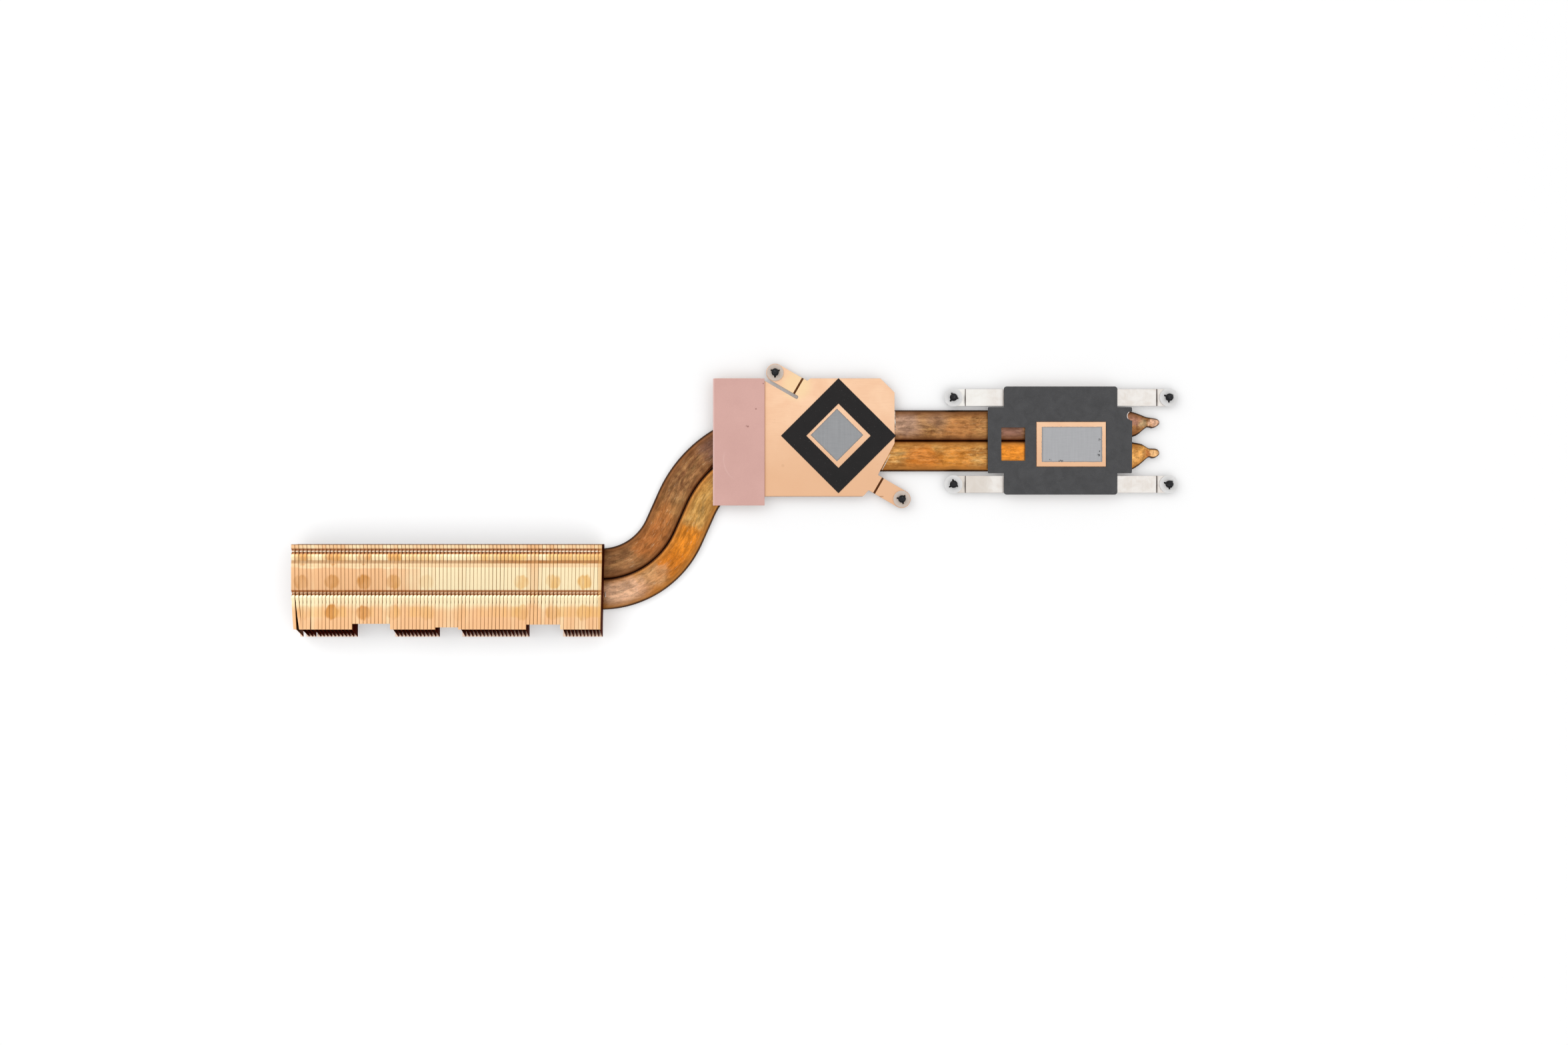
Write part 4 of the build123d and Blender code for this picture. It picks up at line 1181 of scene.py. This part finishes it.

# %% [markdown]
# ## Thermal compound
#
# Grey compound was rolled onto the two contact faces through a stencil, so it ends in straight but
# slightly ragged edges and shows faint parallel streaks. A fine grid takes its height from the frame
# and its outline from given sizes, and noise frays its border and ruffles its top.

# %% Compound material
def compound_material(name, pale, deep, specks_at):
    """Makes grey paste with streaks along X and dark crumbs where it has been rubbed."""
    material, tree, shader = new_material(name, metallic=0.0)
    where, x, y, z = place_of(tree)
    streaks = grain(tree, stretched(tree, where, (260, 3600, 200)), 1.0, 3.0, 0.6)
    columns = grain(tree, stretched(tree, where, (2400, 120, 200)), 1.0, 2.0, 0.5)
    tone = calc(tree, "MULTIPLY_ADD", streaks, 0.5, calc(tree, "MULTIPLY", columns, 0.5))
    colour = mix(tree, fade(tree, tone, 0.3, 0.7), deep, pale)
    edge = own_value(tree, "border")
    colour = tinted(tree, colour, edge, 0.7, (0.15, 0.13, 0.12, 1))
    ragged = fade(tree, grain(tree, where, 2600.0, 3.0), 0.45, 0.55)
    for centre, radius in specks_at:
        share = calc(tree, "MULTIPLY", spot(tree, where, centre, radius, radius), ragged)
        colour = tinted(tree, colour, share, 0.9, (0.03, 0.028, 0.03, 1))
    feed(tree, shader, base_color=colour, normal=bump(tree, streaks, 0.00002, 0.4))
    shader.inputs["Roughness"].default_value = 0.55
    return material


cpu_crumbs = (((-3.0, -4.55), 0.28), ((-5.6, -4.2), 0.20), ((7.55, 1.2), 0.22), ((7.3, -2.9), 0.26),
              ((7.6, -1.9), 0.15), ((-2.4, -4.5), 0.14))
compound_cpu = compound_material("compound_grey", (0.415, 0.417, 0.43, 1),
                                 (0.375, 0.378, 0.39, 1), cpu_crumbs)
compound_gpu = compound_material("compound_grey_dry", (0.315, 0.32, 0.33, 1),
                                 (0.275, 0.28, 0.29, 1), ())


# %% Spread the compound
def spread_compound(node, name, material, half_x, half_y, centre, turn):
    """Lays a ruffled sheet of compound over a rectangle."""
    low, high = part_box(node)
    bm = bmesh.new()
    border = bm.verts.layers.float.new("border")
    bmesh.ops.create_grid(bm, x_segments=60, y_segments=60, size=1.0)
    for vert in bm.verts:
        rim = max(abs(vert.co.x), abs(vert.co.y))
        vert[border] = ramp_between(rim, 0.955, 0.985)
        vert.co.x *= half_x * MM
        vert.co.y *= half_y * MM
        thick = (high.z - low.z) * (1 - 0.85 * ramp_between(rim, 0.96, 1.0))
        ruffle = 0.012 * MM * noise.noise(vert.co * 1500)
        vert.co.z = min(high.z, low.z + thick - abs(ruffle))
        fray = 0.10 * MM * noise.noise(vert.co * 2600) * ramp_between(rim, 0.9, 1.0)
        vert.co.x += fray
        vert.co.y += fray
    bottom = bmesh.ops.extrude_face_region(bm, geom=bm.faces[:])["geom"]
    for vert in verts_of(bottom):
        vert.co.z = low.z
    bmesh.ops.rotate(bm, matrix=Matrix.Rotation(math.radians(turn), 3, "Z"), verts=bm.verts[:])
    bmesh.ops.translate(bm, vec=(centre[0] * MM, centre[1] * MM, 0), verts=bm.verts[:])
    finish_piece(bm, name, material, replaces=[node], smooth=50)


spread_compound("cpu_thermal_compound", "cpu_compound_spread", compound_cpu, 8.1, 4.7, (0.2, -0.05), 0)
spread_compound("gpu_thermal_compound", "gpu_compound_spread", compound_gpu, 5.0, 5.0, (-62.7, 2.5), 45)

# %% [markdown]
# ## Memory pad
#
# The pink pad is soft silicone, cut with a knife and pressed onto the plate. Its faces are smooth
# and a little uneven, its edges are soft, and it carries a few pits and one faint curved scratch.
# A grid fine enough to dent is rounded at its rim and then given its underside.

# %% Pad material
pad_pink, tree, shader = new_material("pad_pink", roughness=0.55)
where, x, y, z = place_of(tree)
clouds = grain(tree, where, 60.0, 4.0, 0.6)
powder = grain(tree, where, 4200.0, 2.0)
tone = calc(tree, "MULTIPLY_ADD", powder, 0.25, calc(tree, "MULTIPLY", clouds, 0.75))
colour = mix(tree, fade(tree, tone, 0.25, 0.75), (0.620, 0.350, 0.307, 1), (0.695, 0.405, 0.355, 1))
pad_low, pad_high = (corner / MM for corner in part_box("memory_thermal_pad"))
left_rim = fade(tree, x, (pad_low.x + 0.50) * MM, (pad_low.x + 0.12) * MM)
colour = tinted(tree, colour, left_rim, 0.55, (0.86, 0.60, 0.56, 1))
pits = (((-84.4, 9.45), 0.16), ((-86.55, 4.75), 0.20), ((-82.45, 16.25), 0.12), ((-87.0, 4.9), 0.08))
# Each pit is darkened with painted shade, over the dent the pad gets below.
for centre, radius in pits:
    pit_painted_shade = spot(tree, where, centre, radius, 0.1)
    colour = tinted(tree, colour, pit_painted_shade, 0.8, (0.30, 0.13, 0.11, 1))
ring = add_node(tree, "VectorMath", {0: where, 1: (-0.0865, -0.0040, 0)}, operation="SUBTRACT")
ring = add_node(tree, "VectorMath", {0: ring.outputs[0], 1: (1, 1, 0)}, operation="MULTIPLY")
ring = add_node(tree, "VectorMath", {0: ring.outputs[0]}, operation="LENGTH").outputs["Value"]
scratch = band(tree, ring, 0.00650, 0.00662, 0.0002)
scratch = calc(tree, "MULTIPLY", scratch, band(tree, y, -0.0075, -0.0035, 0.0025))
scratch = calc(tree, "MULTIPLY", scratch, fade(tree, x, -0.0890, -0.0900))
broken = calc(tree, "MULTIPLY_ADD", grain(tree, where, 900.0), 0.8, 0.0)
scratch = calc(tree, "MULTIPLY", scratch, broken)
colour = tinted(tree, colour, scratch, 0.4, (0.84, 0.60, 0.55, 1))
feed(tree, shader, base_color=colour, normal=bump(tree, powder, 0.00002, 0.4))

# %% Press the pad
bm = bmesh.new()
pad_x = pad_high.x - pad_low.x
pad_y = pad_high.y - pad_low.y
cells_x, cells_y = 48, 118
bmesh.ops.create_grid(bm, x_segments=cells_x, y_segments=cells_y, size=0.5)
pad_centre = Vector(((pad_low.x + pad_high.x) / 2, (pad_low.y + pad_high.y) / 2, 0))
for vert in bm.verts:
    vert.co.x *= pad_x * MM
    vert.co.y *= pad_y * MM
    vert.co += Vector((pad_centre.x, pad_centre.y, 0)) * MM
    to_edge = min(vert.co.x - pad_low.x * MM, pad_high.x * MM - vert.co.x,
                  vert.co.y - pad_low.y * MM, pad_high.y * MM - vert.co.y) / MM
    rounded = 0.10 * (1 - ramp_between(to_edge, 0.0, 0.35)) ** 2
    swell = 0.05 * (0.5 + 0.5 * noise.noise(vert.co * 160))
    dent = sum(0.22 * max(0.0, 1 - (Vector((vert.co.x / MM - px,
                                            vert.co.y / MM - py)).length / (2.2 * r)))
               for (px, py), r in pits)
    vert.co.z = (pad_high.z - rounded - swell * ramp_between(to_edge, 0.0, 1.0) - dent) * MM
sides = bmesh.ops.extrude_face_region(bm, geom=bm.faces[:])["geom"]
for vert in verts_of(sides):
    vert.co.z = pad_low.z * MM
finish_piece(bm, "memory_pad_pressed", pad_pink, replaces=["memory_thermal_pad"], smooth=50)

# %% [markdown]
# ## Clear washers
#
# A washer of clear plastic sits on the neck of each screw and keeps it in its hole. Its own hole
# has three lobes, so that it can be pushed over the thread, and through them the dark screw head
# shows. Two circles with as many points each, one with three places pushed out, are bridged into
# a ring and raised.

# %% Washer and screw materials
washer_clear, tree, shader = new_material("washer_clear", roughness=0.42, ior=1.34)
where, x, y, z = place_of(tree)
cloudy = grain(tree, where, 900.0, 3.0, 0.6)
colour = mix(tree, cloudy, (0.93, 0.92, 0.91, 1), (0.99, 0.985, 0.98, 1))
# Over the copper plate the clear washers are tinted pink: painted copper light seen through them.
copper_seen_through = fade(tree, x, -0.0360, -0.0400)
colour = tinted(tree, colour, copper_seen_through, 0.8, (0.80, 0.66, 0.55, 1))
feed(tree, shader, base_color=colour, normal=bump(tree, cloudy, 0.00002, 0.4))
shader.inputs["Transmission Weight"].default_value = 0.28

screw_black, tree, shader = new_material("screw_black", metallic=0.6, roughness=0.42)
where, x, y, z = place_of(tree)
worn = grain(tree, where, 2400.0, 3.0, 0.6)
colour = mix(tree, fade(tree, worn, 0.55, 0.75), (0.014, 0.014, 0.016, 1), (0.075, 0.075, 0.08, 1))
feed(tree, shader, base_color=colour, normal=bump(tree, worn, 0.00002, 0.5))

# %% Punch a washer
washer_points = 96
lobe_count = 3
hole_radius = 0.87
lobe_reach = 1.38
lobe_half_angle = 15.0


def washer(node, lobe_turn):
    """Punches one lobed ring where a washer's node is, and tilts its lobes by a turn."""
    low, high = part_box(node)
    centre = (low + high) / 2
    outer_radius = (high.x - low.x) / 2
    bm = bmesh.new()
    outer = bmesh.ops.create_circle(bm, segments=washer_points, radius=outer_radius)["verts"]
    outer_edges = bm.edges[:]
    inner = bmesh.ops.create_circle(bm, segments=washer_points, radius=hole_radius * MM)["verts"]
    inner_edges = [e for e in bm.edges if e not in outer_edges]
    for vert in inner:
        angle = math.degrees(math.atan2(vert.co.y, vert.co.x)) - 90 - lobe_turn
        off = abs((angle + 180 / lobe_count) % (360 / lobe_count) - 180 / lobe_count)
        push = 1 - ramp_between(off, lobe_half_angle * 0.6, lobe_half_angle)
        vert.co *= 1 + push * (lobe_reach / hole_radius - 1)
    bmesh.ops.bridge_loops(bm, edges=outer_edges + inner_edges)
    bmesh.ops.translate(bm, vec=(centre.x, centre.y, low.z), verts=bm.verts[:])
    raised = bmesh.ops.extrude_face_region(bm, geom=bm.faces[:])["geom"]
    bmesh.ops.translate(bm, vec=(0, 0, high.z - low.z), verts=verts_of(raised))
    bmesh.ops.recalc_face_normals(bm, faces=bm.faces[:])
    bevel_edges(bm, 0.07, 2, 60)
    finish_piece(bm, node + "_ring", washer_clear, replaces=[node], body=node,
                 smooth=45)


# %% [markdown]
# ## Captive screws
#
# The screws are black M2 screws with a thin head under the sheet, a smooth neck in the washer and
# a thread above it. The thread is a three-sided ridge, carried round the core by a spin that also
# climbs by one pitch for each turn. The head has a cross recess on its underside: a disc with a
# cross-shaped window lies under a whole one.

# %% Cut a screw
screw_radius = 1.0
core_radius = 0.80
neck_radius = 0.80
head_radius = 2.2
thread_pitch = 0.4
thread_rise = 0.65
thread_steps = 20
recess_arm = 0.95
recess_half = 0.22
recess_depth = 0.35


def rod(bm, centre, radius, low_z, high_z, segments, edge):
    """Adds a closed round rod with a small chamfer at its top."""
    depth = high_z - low_z
    lift = Matrix.Translation((centre.x, centre.y, low_z + depth / 2))
    made = bmesh.ops.create_cone(bm, cap_ends=True, segments=segments, radius1=radius * MM,
                                 radius2=radius * MM, depth=depth, matrix=lift)["verts"]
    top = [v for v in made if v.co.z > high_z - 1e-7]
    rim = [e for e in bm.edges if e.verts[0] in top and e.verts[1] in top]
    if edge:
        bmesh.ops.bevel(bm, geom=rim, offset=edge * MM, segments=1, profile=0.5, affect="EDGES",
                        material=-1)


def thread(bm, centre, low_z, high_z):
    """Winds the ridge of the thread round the core."""
    turns = (high_z - low_z) / (thread_pitch * MM) - 1
    steps = int(turns * thread_steps)
    section = [(core_radius - 0.05, 0.0), (screw_radius, 0.5), (core_radius - 0.05, 1.0)]
    corners = [bm.verts.new((centre.x + r * MM, centre.y, low_z + share * thread_pitch * MM))
               for r, share in section]
    face = bm.faces.new(corners)
    climb = thread_pitch * MM / thread_steps
    bmesh.ops.spin(bm, geom=[face], cent=(centre.x, centre.y, 0), axis=(0, 0, 1), dvec=(0, 0, climb),
                   angle=steps * 2 * math.pi / thread_steps, steps=steps)


def screw(node, seat_z):
    """Builds one captive screw where its node is."""
    low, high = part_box(node)
    centre = (low + high) / 2
    thread_low = seat_z + thread_rise * MM
    head_top = head_tops[node.split("_")[0]] * MM
    bm = bmesh.new()
    rod(bm, centre, head_radius, low.z + recess_depth * MM, head_top, 40, 0.12)
    rod(bm, centre, neck_radius, head_top - 0.05 * MM, thread_low + 0.05 * MM, 24, 0.0)
    rod(bm, centre, core_radius, thread_low, high.z, 24, 0.18)
    thread(bm, centre, thread_low, high.z)
    arm, half = recess_arm, recess_half
    cx, cy = centre.x / MM, centre.y / MM
    cross = [(half, half), (half, arm), (-half, arm), (-half, half), (-arm, half), (-arm, -half),
             (-half, -half), (-half, -arm), (half, -arm), (half, -half), (arm, -half), (arm, half)]
    turns = [step * math.pi / 20 for step in range(40)]
    rim = [(head_radius * math.cos(turn), head_radius * math.sin(turn)) for turn in turns]
    loops = [([(cx + a, cy + b) for a, b in loop], 0.0) for loop in (rim, cross)]
    disc = cut_sheet(loops, low.z / MM, recess_depth + 0.01, 0.0)
    lower = bpy.data.meshes.new("recess")
    disc.to_mesh(lower)
    disc.free()
    bm.from_mesh(lower)
    finish_piece(bm, node + "_cut", screw_black, replaces=[node], body=node, smooth=35)


# %% Place washers and screws
head_tops = {"cpu": -3.0, "gpu": -2.55}
washer_gap = 0.05
lobe_turns = {"cpu_washer_upper_left": 20, "cpu_washer_upper_right": 62, "cpu_washer_lower_left": 5,
              "cpu_washer_lower_right": 70, "gpu_washer_upper": 58, "gpu_washer_lower": 78}
for node, turn in lobe_turns.items():
    washer(node, turn)
    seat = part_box(node)[0].z - washer_gap * MM
    screw(node.replace("washer", "screw"), seat)

# %% [markdown]
# ## Solder
#
# Where the plate meets the pipes a little solder has crept out: a thin silvery line along the
# plate's right edge, and a bright drop where the lower pipe enters the fins. Both are small, but
# the eye finds them. Each is a bead of melted metal, so a short rod is sunk, flattened and ruffled
# with noise.

# %% Solder beads
solder, tree, shader = new_material("solder", metallic=1.0)
where, x, y, z = place_of(tree)
frost = grain(tree, where, 1100.0, 3.0, 0.5)
colour = mix(tree, fade(tree, frost, 0.35, 0.60), (0.40, 0.28, 0.19, 1), (0.80, 0.74, 0.66, 1))
feed(tree, shader, base_color=colour, roughness=calc(tree, "MULTIPLY_ADD", frost, 0.3, 0.2))


def solder_bead(name, centre, half, turn):
    """Makes one bead of solder, given its centre, its half sizes and its turn about Z."""
    bm = bmesh.new()
    bmesh.ops.create_icosphere(bm, subdivisions=5, radius=1.0)
    for vert in bm.verts:
        stretched_place = Vector((vert.co.x * half[0], vert.co.y * half[1], vert.co.z * half[2]))
        vert.co *= 1 + 0.45 * noise.noise(stretched_place * 1.6 + Vector(centre))
        vert.co = Vector((vert.co.x * half[0], vert.co.y * half[1], vert.co.z * half[2])) * MM
    bmesh.ops.rotate(bm, matrix=Matrix.Rotation(math.radians(turn), 3, "Z"), verts=bm.verts[:])
    bmesh.ops.translate(bm, vec=Vector(centre) * MM, verts=bm.verts[:])
    finish_piece(bm, name, solder, smooth=80)


solder_bead("solder_plate_edge", (-47.15, 6.0, -1.55), (0.26, 2.7, 0.16), 1.5)
solder_bead("solder_plate_slant", (-49.65, -5.0, -1.6), (0.14, 2.3, 0.12), -28)
solder_bead("solder_fin_drop", (-124.85, -40.5, -1.55), (0.28, 0.75, 0.25), 0)

# %% [markdown]
# ## Sizes and the end
#
# The dressed part must stay as large as the measured one, so its size is printed, as the frame's was at
# the start.

# %% Finish
low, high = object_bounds()
print("visual size", [round((b - a) / MM, 2) for a, b in zip(low, high)])
